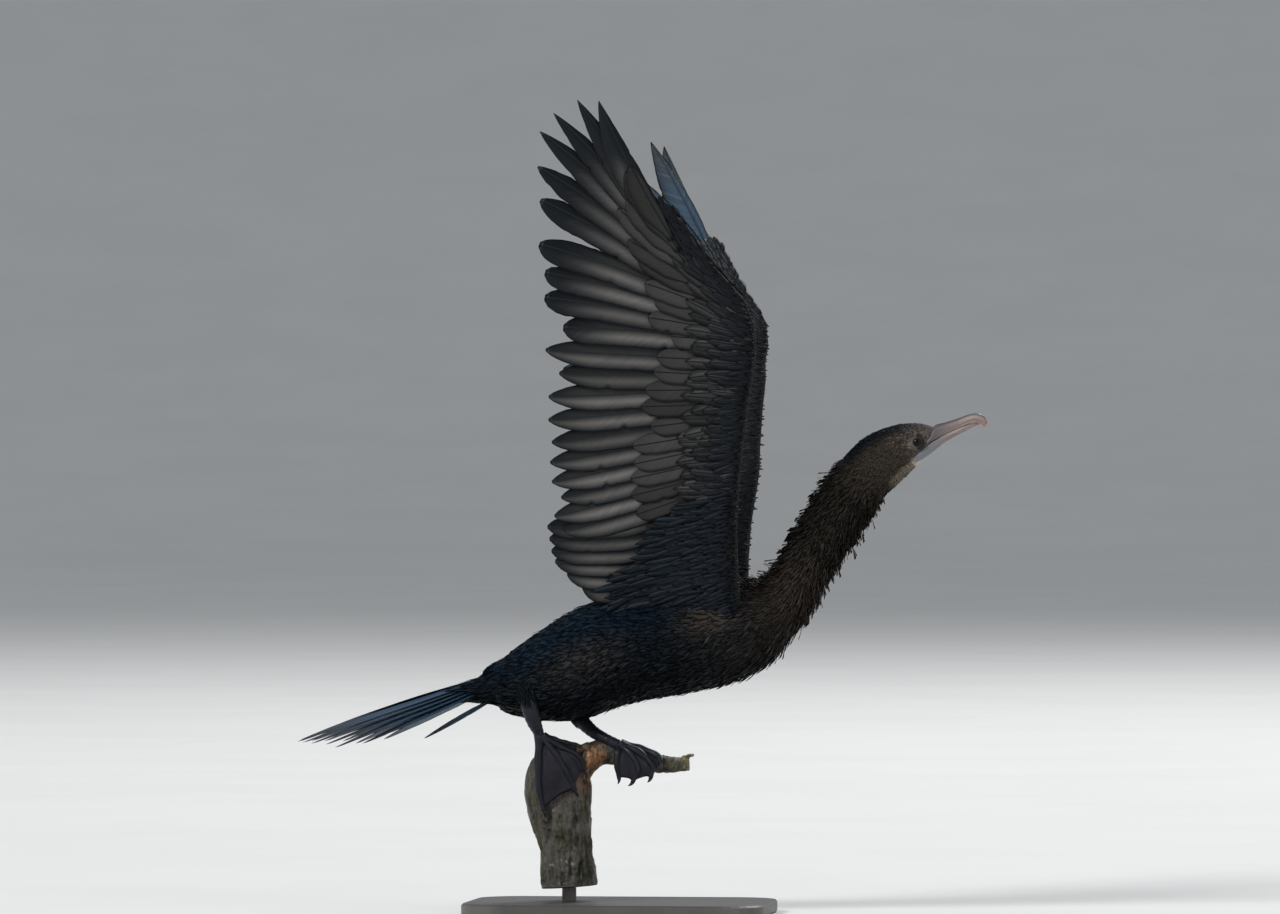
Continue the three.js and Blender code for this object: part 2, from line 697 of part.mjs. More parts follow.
function wing(side, name) {
  const spot = wingSpot(side);
  const primaries = flightRow(WRIST, HAND_TIP, PRIMARY_LENGTH, PRIMARY_ANGLE, (share, i) => ({
    shape: share > 0.5 ? POINTED : ROUNDED,
    bow: PRIMARY_BOW[i],
    lift: PRIMARY_STACK * share * share,
    inner: mix(PRIMARY.inner - 1.5, PRIMARY.inner, share),
    outer: mix(PRIMARY.outer + 0.8, PRIMARY.outer - 2.4, share),
  }));
  primaries[8].angle -= NINTH_CLOSED[side];
  const cubitus = { a: WRIST.a - 11, b: WRIST.b - 3 };
  const secondaries = flightRow(cubitus, ELBOW, SECONDARY_LENGTH, SECONDARY_ANGLE, () => ({
    shape: ROUNDED,
    bow: -1.5,
    ...SECONDARY,
  }));
  const tertials = flightRow(...TERTIAL_ROOTS, TERTIAL_LENGTH, TERTIAL_ANGLE, () => ({
    shape: BROAD,
    bow: -2,
    ...TERTIAL,
  }));
  const forearmCore = wingCore(spot, FOREARM_CHORDS);
  const handCore = wingCore(spot, HAND_CHORDS);
  const hand = [handCore];
  primaries.forEach((feather, i) => {
    hand.push(vane(spot, feather), ...covertsOver(spot, feather, COVERT_TIERS.slice(0, i < 6 ? 2 : 1)));
  });
  THUMB.forEach((feather) => {
    hand.push(vane(spot, { ...feather, ...THUMB_VANE, shape: SMALL, quill: false }));
  });
  const forearm = [forearmCore];
  secondaries.forEach((feather) => {
    forearm.push(vane(spot, feather), ...covertsOver(spot, feather, COVERT_TIERS));
  });
  const inner = [wingCore(spot, INNER_CHORDS)];
  tertials.forEach((feather) => {
    inner.push(vane(spot, feather));
  });
  const handFat = wingCore(spot, HAND_CHORDS, GAP);
  const forearmFat = wingCore(spot, FOREARM_CHORDS, GAP);
  addNode("wing_" + name + "_hand", fused(hand).subtract(forearmFat), flightFeather);
  addNode("wing_" + name + "_forearm", fused(forearm).subtract(handFat), flightFeather);
  addNode("wing_" + name + "_inner", fused(inner).subtract(bodyFat).subtract(forearmFat), flightFeather);
}

wing(RIGHT, "right");
wing(LEFT, "left");

// Tail: a blunt root under the coverts and twelve stiff feathers in a roof-shaped fan
function tail() {
  const slope = TAIL_SLOPE * DEGREE;
  const back = new THREE.Vector3(-Math.cos(slope), 0, -Math.sin(slope));
  const up = new THREE.Vector3(-Math.sin(slope), 0, Math.cos(slope));
  const spot = (a, b, h) =>
    new THREE.Vector3(TAIL_ROOT.x, b, TAIL_ROOT.z)
      .addScaledVector(back, a)
      .addScaledVector(up, h - TAIL_DROOP * (a / TAIL_LENGTH[0]) ** 2);
  const pieces = [ovals(RUMP, 12), vane(spot, { ...STRAY, shape: POINTED, tilt: 0.1, quill: true })];
  [RIGHT, LEFT].forEach((side) => {
    const [inner, outer] = side === LEFT ? [TAIL_VANE.near, TAIL_VANE.far] : [TAIL_VANE.far, TAIL_VANE.near];
    TAIL_LENGTH.forEach((length, i) => {
      const under = side === RIGHT && i === 0 ? TAIL_ROOF.pair : 0; // one middle feather lies on the other
      pieces.push(
        vane(spot, {
          root: [TAIL_FAN.buried, side * (1.2 + i * TAIL_FAN.apart)],
          angle: -side * (TAIL_FAN.first + i * TAIL_FAN.step),
          length: length - TAIL_FAN.buried,
          inner,
          outer,
          shape: POINTED,
          lift: TAIL_ROOF.lift - i * TAIL_ROOF.step - under,
          rise: -i * TAIL_ROOF.droop,
          tilt: side * 0.1,
          quill: true,
        }),
      );
    });
  });
  return fused(pieces);
}

addNode("tail", tail().subtract(bodyFat), flightFeather);

export default shown;
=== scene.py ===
"""A life-size little cormorant with both wings raised, perched on a broken branch over a display stand.

Lengths in the tables are millimetres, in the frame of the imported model: +Z up, +X the way the bird
faces, -Y the bird's right side. The meshes are written in metres.
"""

import math

import bmesh
import bpy
import numpy as np
from bpy.props import FloatProperty, FloatVectorProperty, IntProperty, PointerProperty
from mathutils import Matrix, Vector, noise


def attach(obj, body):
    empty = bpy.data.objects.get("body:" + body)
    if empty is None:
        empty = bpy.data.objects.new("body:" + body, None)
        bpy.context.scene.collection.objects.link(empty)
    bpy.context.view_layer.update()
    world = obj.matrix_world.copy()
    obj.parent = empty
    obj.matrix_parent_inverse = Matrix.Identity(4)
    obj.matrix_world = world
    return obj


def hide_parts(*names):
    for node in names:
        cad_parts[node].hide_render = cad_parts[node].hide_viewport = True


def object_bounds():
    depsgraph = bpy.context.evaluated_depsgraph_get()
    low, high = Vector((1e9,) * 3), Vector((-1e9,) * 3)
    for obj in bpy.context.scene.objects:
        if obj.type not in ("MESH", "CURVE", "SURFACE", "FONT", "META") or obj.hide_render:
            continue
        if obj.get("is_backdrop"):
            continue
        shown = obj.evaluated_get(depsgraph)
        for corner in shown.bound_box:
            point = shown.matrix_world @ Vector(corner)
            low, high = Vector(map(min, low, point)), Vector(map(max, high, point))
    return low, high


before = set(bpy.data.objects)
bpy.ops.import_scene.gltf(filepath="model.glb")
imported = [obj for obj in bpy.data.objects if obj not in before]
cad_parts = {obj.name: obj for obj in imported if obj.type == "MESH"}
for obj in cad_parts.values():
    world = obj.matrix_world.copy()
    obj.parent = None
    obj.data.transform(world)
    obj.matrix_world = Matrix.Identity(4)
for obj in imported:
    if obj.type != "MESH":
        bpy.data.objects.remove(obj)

bl_info = {
    "name": "Perched cormorant",
    "version": (1, 0, 0),
    "blender": (4, 5, 0),
    "location": "3D View > Sidebar > Cormorant",
    "description": "Builds a life-size little cormorant with raised wings on its perch and stand",
    "category": "Add Mesh",
}

CAD_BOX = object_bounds()
MM = 0.001
RIGHT, LEFT = -1, 1
SIDES = {RIGHT: "right", LEFT: "left"}
FULL_TURN = 2 * math.pi

# Spine from tail end to bill base: x, z, half depth, half width, over the feathers
SPINE = [
    (-119, 133.6, 2, 5), (-108, 136, 4.4, 9.4), (-96, 138.4, 6.8, 12.8),
    (-84, 140, 9.6, 16), (-77.5, 142.5, 14.3, 19.5), (-66.7, 143.2, 20.3, 25),
    (-50.4, 146.4, 27, 31), (-31.5, 152.2, 32, 35.5), (-8.8, 162, 34, 37.5),
    (14, 168.2, 34.8, 37.5), (38, 172.5, 35.4, 36), (59, 176.5, 34, 33),
    (76, 181, 30, 28.5), (89.5, 187.8, 24.5, 24), (100.4, 194.8, 19, 20),
    (109, 205, 16.4, 17), (116.6, 217.6, 15.6, 15.8), (126.2, 233.6, 16, 15.4),
    (137.4, 251.2, 16.6, 14.8), (149.4, 268.5, 17.6, 14.2), (162, 281.6, 18.4, 13.8),
    (175.5, 290.6, 15.8, 13), (187.2, 295.6, 12, 11), (195.5, 298.2, 7.9, 7.2),
    (200, 299.8, 4.6, 4.4),
]

# Bill stations from the gape forward: mouth edge x, z, then ridge or keel x, z, then half width
UPPER_BILL = [
    (184.4, 284.8, 185.6, 286.4, 8.6), (187.5, 288.9, 189.8, 292.6, 8.7), (191, 291.8, 193.8, 297.4, 8.2),
    (194.2, 294.1, 196.4, 301.6, 7.5), (197, 295.9, 197.8, 305.5, 6.7), (204.7, 299.9, 204.6, 307.4, 5.1),
    (212.8, 303.7, 211.6, 309.6, 4.2), (218.4, 306.1, 217.6, 311.7, 3.6),
    (222.2, 307.2, 222.8, 312.8, 3.2), (225, 306.4, 226.8, 312, 2.7),
    (227.4, 305.3, 229.3, 309.6, 1.9), (228.8, 304.4, 230.3, 306.6, 1),
]
LOWER_BILL = [
    (184, 284.4, 186.4, 281.6, 8.6), (188.6, 288.6, 192.4, 285.1, 8.3), (193.6, 292.9, 197.6, 289, 6.9),
    (200.4, 297.1, 203.3, 293.8, 5.6), (207.6, 300.8, 209.4, 297.7, 4.6), (214, 303.8, 215.8, 301.1, 3.7),
    (219.4, 306.2, 220.9, 303.9, 2.8), (224.4, 307, 225, 305.6, 1.5),
]
# Where the feathers stop in front of the eye: heights, and how far forward they reach
HORN_EDGE = ([279, 281.8, 285, 289, 295.3, 298.4, 302, 305, 309],
             [187.5, 187, 185, 188, 192.8, 195.6, 197.6, 196, 194.5])
# Bulges of the head: turn from the crown, and how wide each is
CHEEK, BROW, LORE = (1.9, 0.5), (1.02, 0.24), (1.5, 0.3)
EYE = (187.2, 8.1, 294.6)
EYE_RADIUS = 3.5
# Rings of skin round the eye: radius, how far out, thickness, beads
EYE_RINGS = [(3.05, 2.5, 0.55, 25), (4.05, 1.95, 0.34, 37), (4.95, 1.45, 0.28, 44)]

# Wing sheet: a runs up the span from the shoulder, b forward along the chord, h out of the underside
SHOULDER = (75.6, 24, 202)
WING_LEAN = {RIGHT: 15, LEFT: 24.5}
WING_SWAY = {RIGHT: 0, LEFT: -12}
WRIST, ELBOW, HAND_TIP, SECOND_ROOT = (161, 0), (65, -21), (227, -31), (150, -3)
PRIMARY_LENGTH = [102, 111, 109, 112, 117, 123, 129, 124, 114, 99]
PRIMARY_ANGLE = [84, 78, 73, 67.5, 57, 50.8, 44, 38.6, 31.2, 25.5]
PRIMARY_BOW = [1, 1.3, 1.6, 2, 2.4, 2.8, 3, 2.6, 1, -2.5]
NINTH_CLOSED = {RIGHT: 0, LEFT: 4.4}
SECONDARY_LENGTH = [110, 100, 105, 104, 101, 101, 99, 92, 95, 88]
SECONDARY_ANGLE = [86, 89, 92, 95, 98, 100, 102, 103.5, 104.5, 106]
TERTIAL_LENGTH = [80, 77, 74, 70, 61, 50]
TERTIAL_ANGLE = [92, 91, 90, 88, 87, 86]
TERTIAL_ROOTS = ((46, -36), (0, -46))
PRIMARY_STACK = 2.8
SHINGLE = 0.2
LEADING_EDGE = [
    (-24, 3), (0, 2.4), (23, 1.6), (45, 2), (76, 5), (101, 8.4), (125, 12.2), (147, 16.4), (162, 17.6),
    (172, 16.6), (188, 11), (204, -3), (214, -12), (228, -21), (242, -29),
]

# Tail
TAIL_ROOT = (-78, 147)
TAIL_SLOPE = 16
TAIL_DROOP = 6
TAIL_LENGTH = [131, 127, 122, 114, 110, 94]
TAIL_RISE = [0, -1.3, -2.6, -5, -7.5, -9.5]
LOOSE_LENGTH, LOOSE_ANGLE = 54, 18

# Legs and toes: x, y, z, radius
LEGS = {
    RIGHT: [(-58, -14, 150, 5.6), (-55.8, -24.5, 141, 5.8), (-54, -28.2, 133, 5.4),
            (-51, -26.2, 121.5, 4.7), (-48.4, -23, 114, 3.4), (-47.6, -22, 109, 3.4)],
    LEFT: [(-37, 18, 131.6, 6.4), (-30.5, 12.5, 126.6, 5.4), (-25, 7, 120.4, 4.7),
           (-17.8, 2.4, 114.2, 4), (-9.4, -2, 109.6, 3.6), (-0.8, -3.8, 105.8, 3.4)],
}
TOES = {
    RIGHT: [
        [(-47.5, -22, 112, 3.2), (-48.6, -23, 94, 2.5), (-48.2, -22.2, 78, 2.2), (-45.4, -20.6, 65, 1.6)],
        [(-46.3, -22, 111.5, 2.8), (-37.5, -23.2, 101, 2), (-31, -21.6, 89.5, 1.8),
         (-25.6, -18.4, 77.5, 1.4)],
        [(-45.6, -22, 111.5, 2.6), (-35, -21.2, 105.2, 1.9), (-24.5, -16.4, 99.5, 1.6),
         (-20.4, -13, 90, 1.3)],
        [(-45, -21.6, 111.5, 2.4), (-35.5, -17.4, 108.4, 1.6), (-26, -12.4, 106, 1.3)],
    ],
    LEFT: [
        [(0, -4, 105.4, 2.6), (-0.6, -8.8, 100.6, 1.9), (-1, -9.4, 92.5, 1.5), (0.4, -7.4, 84.6, 1.2)],
        [(0.4, -4, 105.8, 2.8), (8, -7.6, 100, 2), (12.4, -8, 91, 1.7), (8.6, -6.4, 82.4, 1.3)],
        [(0.8, -4, 106, 3), (12.6, -5.6, 101.4, 2.2), (21, -6.4, 93.4, 1.9), (20, -5.6, 85.4, 1.4)],
        [(1, -3, 106.2, 3), (13.4, -1.8, 103.4, 2.3), (23.6, -3.8, 99.4, 2), (26.4, -5, 94.4, 1.5)],
    ],
}
CLAW_LENGTH = {RIGHT: 6.2, LEFT: 4.4}
# Which way the claws curl, and how far
CLAW_TOWARD = {RIGHT: (0, 1, 0), LEFT: (-0.85, 0.5, 0.1)}
CLAW_CURL = 2.2
# How deep a claw sits in its toe
CLAW_SEAT = 0.6
WEB_HALF = 0.28
# Feathers on the thigh: how many, and the share of the leg that they grow on
THIGH_COUNT = 190
THIGH_REACH = 0.3

# Perch
STEM = [(-31.8, 16.8, 18), (-32.6, 28, 17.4), (-33.6, 40, 16.6), (-35.4, 50, 17.8), (-37, 60, 19.4),
        (-38.6, 70, 20.6), (-39, 79, 21), (-38, 87, 20), (-35.5, 94, 17.5), (-32.5, 99, 13)]
BRANCH = [(-33, 0, 84, 12), (-24, 0, 95, 10.5), (-12.6, 1, 101, 8.4), (0, 2, 99.6, 7), (14, 3, 95.6, 6.2),
          (29, 4, 93.4, 5.4), (43, 5, 94, 4.4)]
TWIG = [(36, 4.5, 95, 2.4), (41, 5, 98, 1.8), (46, 6, 99.4, 1)]
BARK_CELL = 0.75
# The bark's noises: scale, octaves, seed
RIDGES, LUMPS, FINE = (0.2, 4, 0.0), (0.07, 3, 5.0), (0.55, 3, 9.0)
# The bark's ridges: how far they may sink in and stand out, and where they end above the cut
BARK_MOVE = (-2.8, 0.6)
BARK_CUT = (17.6, 19.5)
# The wood keeps behind the right foot's webs from here on
WEB_BACK = -17.4
# Rotten wood: x, z of its middle, then how wide and how high
ROT_TOP, ROT_SIDE = (-16, 99, 8, 7), (-20, 84, 5, 9)

# Feather vanes: half thickness, patch of each on the unwrap, and the share frayed off a tip
BODY_VANE, FLIGHT_VANE, COVERT_VANE = 0.13, 0.16, 0.12
PATCH = 0.003
FRINGE = 0.3
# Half width of a neck feather, and the gaps along and round the head
NECK_VANE = 0.58
HEAD_GAPS = (0.9, 0.72)
# Flight feathers: how ragged their edges are, and how deep and wide the cuts in them
FRAY = 0.03
CUT_DEPTH, CUT_WIDTH = 0.16, 0.012
# How far their barbs sweep forward, how arched a vane is, and the shaft's rise at root and tip
BARB_SWEEP, VANE_ARCH = 0.25, 0.07
SHAFT_RISE = (0.5, 0.08)
# Rectangles of one vane on the unwrap
FLIGHT_CELL, TAIL_CELL, WEB_CELL = (0.05, 0.24), (0.07, 0.46), (0.14, 0.8)

# Photograph: its frame is 1280 by 914, 0.8 m wide where the bird is
CAMERA_AZIMUTH = 7
CAMERA_DISTANCE = 6
FRAME_WIDTH = 0.8
FRAME_CENTRE = (12.5, 285.6)
SENSOR = 36
# Floor, in metres: how far it is flat, where it ends and how steeply it rises
FLOOR_FLAT, FLOOR_END, FLOOR_RISE = 12, 40, 14
# Lamps: name, place, size and power, all in metres and watts
LAMPS = [
    ("key", (-4.6, -5.2, 5.0), 2.4, 520),
    ("fill", (6.4, -5.6, 2.6), 3.6, 90),
    ("back", (2.4, 5.0, 5.8), 3.2, 420),
]
CAMERA_REACH = 200
LAMP_TARGET = (0.02, 0, 0.26)
SKY = (0.86, 0.9, 0.95, 1)
SKY_STRENGTH = 0.44


def spline(knots, count):
    """A smooth line through the knots, as count points."""
    knots = np.asarray(knots, float)
    ends = np.vstack([2 * knots[0] - knots[1], knots, 2 * knots[-1] - knots[-2]])
    spot = np.linspace(0, len(knots) - 1, count)
    i = np.minimum(spot.astype(int), len(knots) - 2)
    t = (spot - i)[:, None]
    p, q, r, s = (ends[i + k] for k in range(4))
    square, cube = 2 * p - 5 * q + 4 * r - s, 3 * q - p - 3 * r + s
    return 0.5 * (2 * q + (r - p) * t + square * t**2 + cube * t**3)


def ramp(value, start, end):
    return np.clip((value - start) / (end - start), 0, 1)


def smooth(value, start, end):
    t = ramp(value, start, end)
    return t * t * (3 - 2 * t)


def mix(low, high, share):
    return low + (high - low) * share


def hump(value, middle, width):
    """1 at the middle, falling off softly to each side."""
    return np.exp(-((value - middle) / width) ** 2)


def unit(vectors):
    return vectors / np.linalg.norm(vectors, axis=-1, keepdims=True)


BODY = spline(SPINE, 420)
BODY_STEP = np.hypot(np.gradient(BODY[:, 0]), np.gradient(BODY[:, 1]))
BODY_AT = np.concatenate([[0], np.cumsum((BODY_STEP[1:] + BODY_STEP[:-1]) / 2)])
BODY_SLOPE = np.arctan2(np.gradient(BODY[:, 1]), np.gradient(BODY[:, 0]))
BODY_LENGTH = BODY_AT[-1]
RUMP_AT = np.interp(-84, BODY[:, 0], BODY_AT)
NECK_AT = np.interp(100.4, BODY[:, 0], BODY_AT)
HEAD_AT = np.interp(155, BODY[:, 0], BODY_AT)


# How far the skin lies inside the outline of the feathers: place along the spine, depth
COAT_DEPTH = ([0, RUMP_AT + 20, NECK_AT - 10, NECK_AT + 25, HEAD_AT - 5, HEAD_AT + 25, BODY_LENGTH],
              [1.2, 2.0, 2.3, 2.4, 1.7, 0.7, 0.25])


def body_girth(at):
    """Mean radius of the body at a place along the spine."""
    return 0.5 * (np.interp(at, BODY_AT, BODY[:, 2]) + np.interp(at, BODY_AT, BODY[:, 3]))


def body_point(at, turn, rise):
    """A point over the skin: at along the spine, turn round it from the back, rise above the skin."""
    x, z, depth, width = (np.interp(at, BODY_AT, BODY[:, k]) for k in range(4))
    slope = np.interp(at, BODY_AT, BODY_SLOPE)
    side = np.abs(turn)
    off = rise - np.interp(at, *COAT_DEPTH)
    squareness = 1 + 0.035 * np.sin(2 * turn) ** 2 * ramp(NECK_AT - at, 0, 60)
    up = (depth + off) * np.cos(turn) * squareness
    across = (width + off) * np.sin(turn) * squareness
    head = smooth(at, HEAD_AT, HEAD_AT + 14)
    cheek = hump(side, *CHEEK) * smooth(at, HEAD_AT - 4, HEAD_AT + 12)
    brow = hump(side, *BROW) * hump(at, BODY_LENGTH - 20, 9)
    lore = hump(side, *LORE) * hump(at, BODY_LENGTH - 8, 5)
    across = across * (1 + 0.05 * cheek * (1 - smooth(at, BODY_LENGTH - 26, BODY_LENGTH - 8)))
    across = across * (1 + 0.06 * brow - 0.12 * lore * head)
    forward, high = x - up * np.sin(slope), z + up * np.cos(slope)
    horn = smooth(forward - np.interp(high, *HORN_EDGE), -0.7, 0.9) * head
    return np.stack([forward, across * (1 - 0.16 * horn), high], -1)


def wing_sheet(side):
    """The function that places a, b, h of one wing's sheet in space."""
    lean = math.radians(WING_LEAN[side])
    span = np.array([0, side * math.sin(lean), math.cos(lean)])
    beneath = np.array([0, side * math.cos(lean), -math.sin(lean)])

    def spot(a, b, h):
        hollow = 9 * (np.maximum(0, -b - 12) / 105) ** 2 + 2 * (np.maximum(0, b + 12) / 28) ** 2
        hollow = hollow + 9 * (np.maximum(0, a - 80) / 237) ** 2 + h
        swing = ramp(a, ELBOW[0] + 15, WRIST[0]) - 1.17 * ramp(a, WRIST[0], HAND_TIP[0])
        x = SHOULDER[0] + b + swing * WING_SWAY[side]
        return (np.stack([x, x * 0, x * 0], -1) + np.array([0, side * SHOULDER[1], SHOULDER[2]])
                + a[..., None] * span + hollow[..., None] * beneath)

    return spot


# The wing's arm: places along the span, then its chord and its thickness there
ARM_AT = [-24, 20, 60, 160, 200, 242]
ARM_CHORD = [74, 62, 50, 50, 46, 22]
ARM_SKIN_CHORD = [70, 58, 46, 42, 36, 16]
ARM_THICK = [7.6, 7, 5.2, 4.6, 3.6, 2]
# Its section: share of the chord behind the leading edge, share of the full thickness
ARM_SECTION = ([-0.04, 0, 0.05, 0.14, 0.3, 0.55, 0.85, 1.1, 1.4],
               [0, 0.16, 0.62, 0.9, 1, 0.84, 0.5, 0.3, 0.2])


def leading_edge(a):
    return np.interp(a, *zip(*LEADING_EDGE))


def arm_height(a, b):
    """How thick the fleshy part of the wing is, to each side of the sheet."""
    back = (leading_edge(a) - b) / np.interp(a, ARM_AT, ARM_CHORD)
    return np.interp(a, ARM_AT, ARM_THICK) * np.interp(back, *ARM_SECTION)


def build_mesh(name, points, quads):
    """A smooth mesh of four-sided faces, from points in millimetres."""
    mesh = bpy.data.meshes.new(name)
    mesh.vertices.add(len(points))
    mesh.vertices.foreach_set("co", (np.asarray(points) * MM).astype(np.float32).ravel())
    mesh.loops.add(quads.size)
    mesh.loops.foreach_set("vertex_index", quads.astype(np.int32).ravel())
    mesh.polygons.add(len(quads))
    mesh.polygons.foreach_set("loop_start", np.arange(0, quads.size, 4, dtype=np.int32))
    mesh.polygons.foreach_set("loop_total", np.full(len(quads), 4, dtype=np.int32))
    mesh.polygons.foreach_set("use_smooth", np.ones(len(quads), dtype=bool))
    mesh.update(calc_edges=True)
    return mesh


def set_attribute(mesh, name, values):
    kind, field = ("FLOAT_VECTOR", "vector") if values.ndim == 2 else ("FLOAT", "value")
    mesh.attributes.new(name, kind, "POINT").data.foreach_set(field, values.astype(np.float32).ravel())


def add_piece(name, mesh, material, nodes=()):
    """Puts a mesh in the scene as one piece of the model."""
    piece = bpy.data.objects.new(name, mesh)
    bpy.context.scene.collection.objects.link(piece)
    mesh.materials.clear()
    mesh.materials.append(material)
    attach(piece, "root")
    if nodes:
        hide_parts(*nodes)
    return piece


def grid_quads(index):
    """Faces between the rows and columns of a grid of point numbers."""
    return np.stack([index[:-1, :-1], index[:-1, 1:], index[1:, 1:], index[1:, :-1]], -1).reshape(-1, 4)


def join_grids(name, top, under, values, place, cells=None):
    """Joins many thin vanes into one mesh.

    top and under are (count, rows, columns, 3) grids that share their rims. values holds (count,
    rows, columns, 3) attributes. place is where each vane's root lies on the unwrapped skin, and
    cells the size of a vane's own rectangle there, where it has one.
    """
    count, rows, columns = top.shape[:3]
    inner = (rows - 2) * (columns - 2)
    block = rows * columns + inner
    upper = np.arange(rows * columns).reshape(rows, columns)
    lower = upper.copy()
    lower[1:-1, 1:-1] = rows * columns + np.arange(inner).reshape(rows - 2, columns - 2)

    def both(first, second):
        flat = first.reshape(count, rows * columns, -1)
        rest = second[:, 1:-1, 1:-1].reshape(count, inner, -1)
        return np.concatenate([flat, rest], 1)

    points = both(top, under)
    face = np.vstack([grid_quads(upper), grid_quads(lower)[:, ::-1]])
    corner = points[:, face]
    size = np.einsum("nfi,nfi->n", corner[:, :, 0] - points[:, :1],
                     np.cross(corner[:, :, 1] - points[:, :1], corner[:, :, 2] - points[:, :1]))
    turned = np.where((size < 0)[:, None, None], face[:, ::-1], face)
    quads = (turned + (np.arange(count) * block)[:, None, None]).reshape(-1, 4)
    mesh = build_mesh(name, points.reshape(-1, 3), quads)
    for key, value in values.items():
        set_attribute(mesh, key, both(value, value).reshape(count * block, -1))
    sheet = np.zeros((count, rows, columns, 2))
    sheet[..., 0] = np.linspace(-0.5, 0.5, columns)
    sheet[..., 1] = np.linspace(-0.5, 0.5, rows)[:, None]
    flat = both(sheet, sheet)[np.arange(count)[:, None, None], turned]
    loops = flat * np.array(cells or (PATCH, PATCH)) + place[:, None, None, :]
    if cells:
        loops[:, len(face) // 2:, :, 0] += 0.5
    mesh.uv_layers.new(name="OFBake").data.foreach_set("uv", loops.astype(np.float32).ravel())
    return mesh


# A direction that no tube runs along
NEARLY_ACROSS = (0.03, 1, 0.02)


def ring_tube(line, radii, sides, squash=1.0):
    """Rings of points round a line, as (rings, sides, 3)."""
    along = unit(np.gradient(line, axis=0))
    first = unit(np.cross(along, NEARLY_ACROSS))
    second = np.cross(along, first)
    turn = np.linspace(0, FULL_TURN, sides, endpoint=False)
    radii = np.asarray(radii).reshape(len(line), -1)
    if radii.shape[1] == 1:
        radii = np.repeat(radii, sides, axis=1)
    round_first = (radii * np.cos(turn))[..., None] * first[:, None]
    round_second = (radii * np.sin(turn) * squash)[..., None] * second[:, None]
    return line[:, None] + round_first + round_second


def skin_rings(name, rings):
    """Skins rings of points into a mesh, drawn in almost to a point at each end."""
    sides = rings.shape[1]
    ends = [ring.mean(0) * 0.98 + ring * 0.02 for ring in (rings[0], rings[-1])]
    rings = np.concatenate([ends[:1], rings, ends[1:]])
    index = np.arange(len(rings) * sides).reshape(-1, sides)
    after = np.roll(index, -1, axis=1)
    quads = np.stack([index[:-1], after[:-1], after[1:], index[1:]], -1).reshape(-1, 4)
    points = rings.reshape(-1, 3)
    corner = points[quads] - points.mean(0)
    if np.einsum("fi,fi->", corner[:, 0], np.cross(corner[:, 1], corner[:, 2])) < 0:
        quads = quads[:, ::-1]
    return build_mesh(name, points, quads)


def cap_ends(mesh):
    """Fills the small holes that the end rings leave."""
    work = bmesh.new()
    work.from_mesh(mesh)
    bmesh.ops.holes_fill(work, edges=[edge for edge in work.edges if edge.is_boundary], sides=0)
    work.to_mesh(mesh)
    work.free()


def joined_tubes(name, tubes):
    """One mesh from several closed tubes given as rings."""
    points, quads, start = [], [], 0
    for rings in tubes:
        piece = skin_rings(name, rings)
        co = np.zeros(len(piece.vertices) * 3, dtype=np.float32)
        piece.vertices.foreach_get("co", co)
        index = np.zeros(len(piece.loops), dtype=np.int32)
        piece.loops.foreach_get("vertex_index", index)
        points.append(co.reshape(-1, 3) / MM)
        quads.append(index.reshape(-1, 4) + start)
        start += len(piece.vertices)
        bpy.data.meshes.remove(piece)
    mesh = build_mesh(name, np.vstack(points), np.vstack(quads))
    cap_ends(mesh)
    return mesh


def feed(tree, socket, value):
    """Links or sets a socket. A colour may be given as three numbers."""
    if isinstance(value, bpy.types.NodeSocket):
        tree.links.new(value, socket)
    elif socket.type == "RGBA":
        socket.default_value = (*value, 1.0)
    else:
        socket.default_value = value


def put(tree, kind, settings=None, **inputs):
    """Adds a node, with its settings, and with its inputs set or linked by name or as n and a number."""
    node = tree.nodes.new(kind)
    for key, value in (settings or {}).items():
        setattr(node, key, value)
    for key, value in inputs.items():
        feed(tree, node.inputs[int(key[1:]) if key[1:].isdigit() else key.replace("_", " ")], value)
    return node


def maths(tree, operation, first, second=0.0, third=0.0):
    return put(tree, "ShaderNodeMath", {"operation": operation}, n0=first, n1=second, n2=third).outputs[0]


def attribute(tree, name, output="Vector"):
    """A value that the mesh carries at each of its points."""
    return put(tree, "ShaderNodeAttribute", {"attribute_name": name}).outputs[output]


def parts(tree, name):
    """The three numbers of a value that the mesh carries."""
    return put(tree, "ShaderNodeSeparateXYZ", Vector=attribute(tree, name)).outputs


def object_place(tree):
    return put(tree, "ShaderNodeTexCoord").outputs["Object"]


def times(tree, first, second):
    return maths(tree, "MULTIPLY", first, second)


def scaled(tree, value, factor, offset):
    return maths(tree, "MULTIPLY_ADD", value, factor, offset)


def blend(tree, share, first, second, mode="MIX"):
    """Mixes two colours. The node keeps its sockets for colours at 6, 7 and, as its output, 2."""
    settings = {"data_type": "RGBA", "blend_type": mode}
    return put(tree, "ShaderNodeMix", settings, n0=share, n6=first, n7=second).outputs[2]


def spread(tree, value, low, high, start=0.0, end=1.0):
    """Maps low..high to start..end."""
    node = put(tree, "ShaderNodeMapRange", {"interpolation_type": "SMOOTHSTEP"}, Value=value,
               From_Min=low, From_Max=high, To_Min=start, To_Max=end)
    return node.outputs[0]


def rough_noise(tree, vector, scale, detail=4.0, roughness=0.6):
    node = put(tree, "ShaderNodeTexNoise", Vector=vector, Scale=scale, Detail=detail, Roughness=roughness)
    return node.outputs[0]


def place_of(tree, x, y, z):
    return put(tree, "ShaderNodeCombineXYZ", X=x, Y=y, Z=z).outputs[0]


def stretched(tree, vector, factor):
    return put(tree, "ShaderNodeVectorMath", {"operation": "MULTIPLY"}, n0=vector, n1=factor).outputs[0]


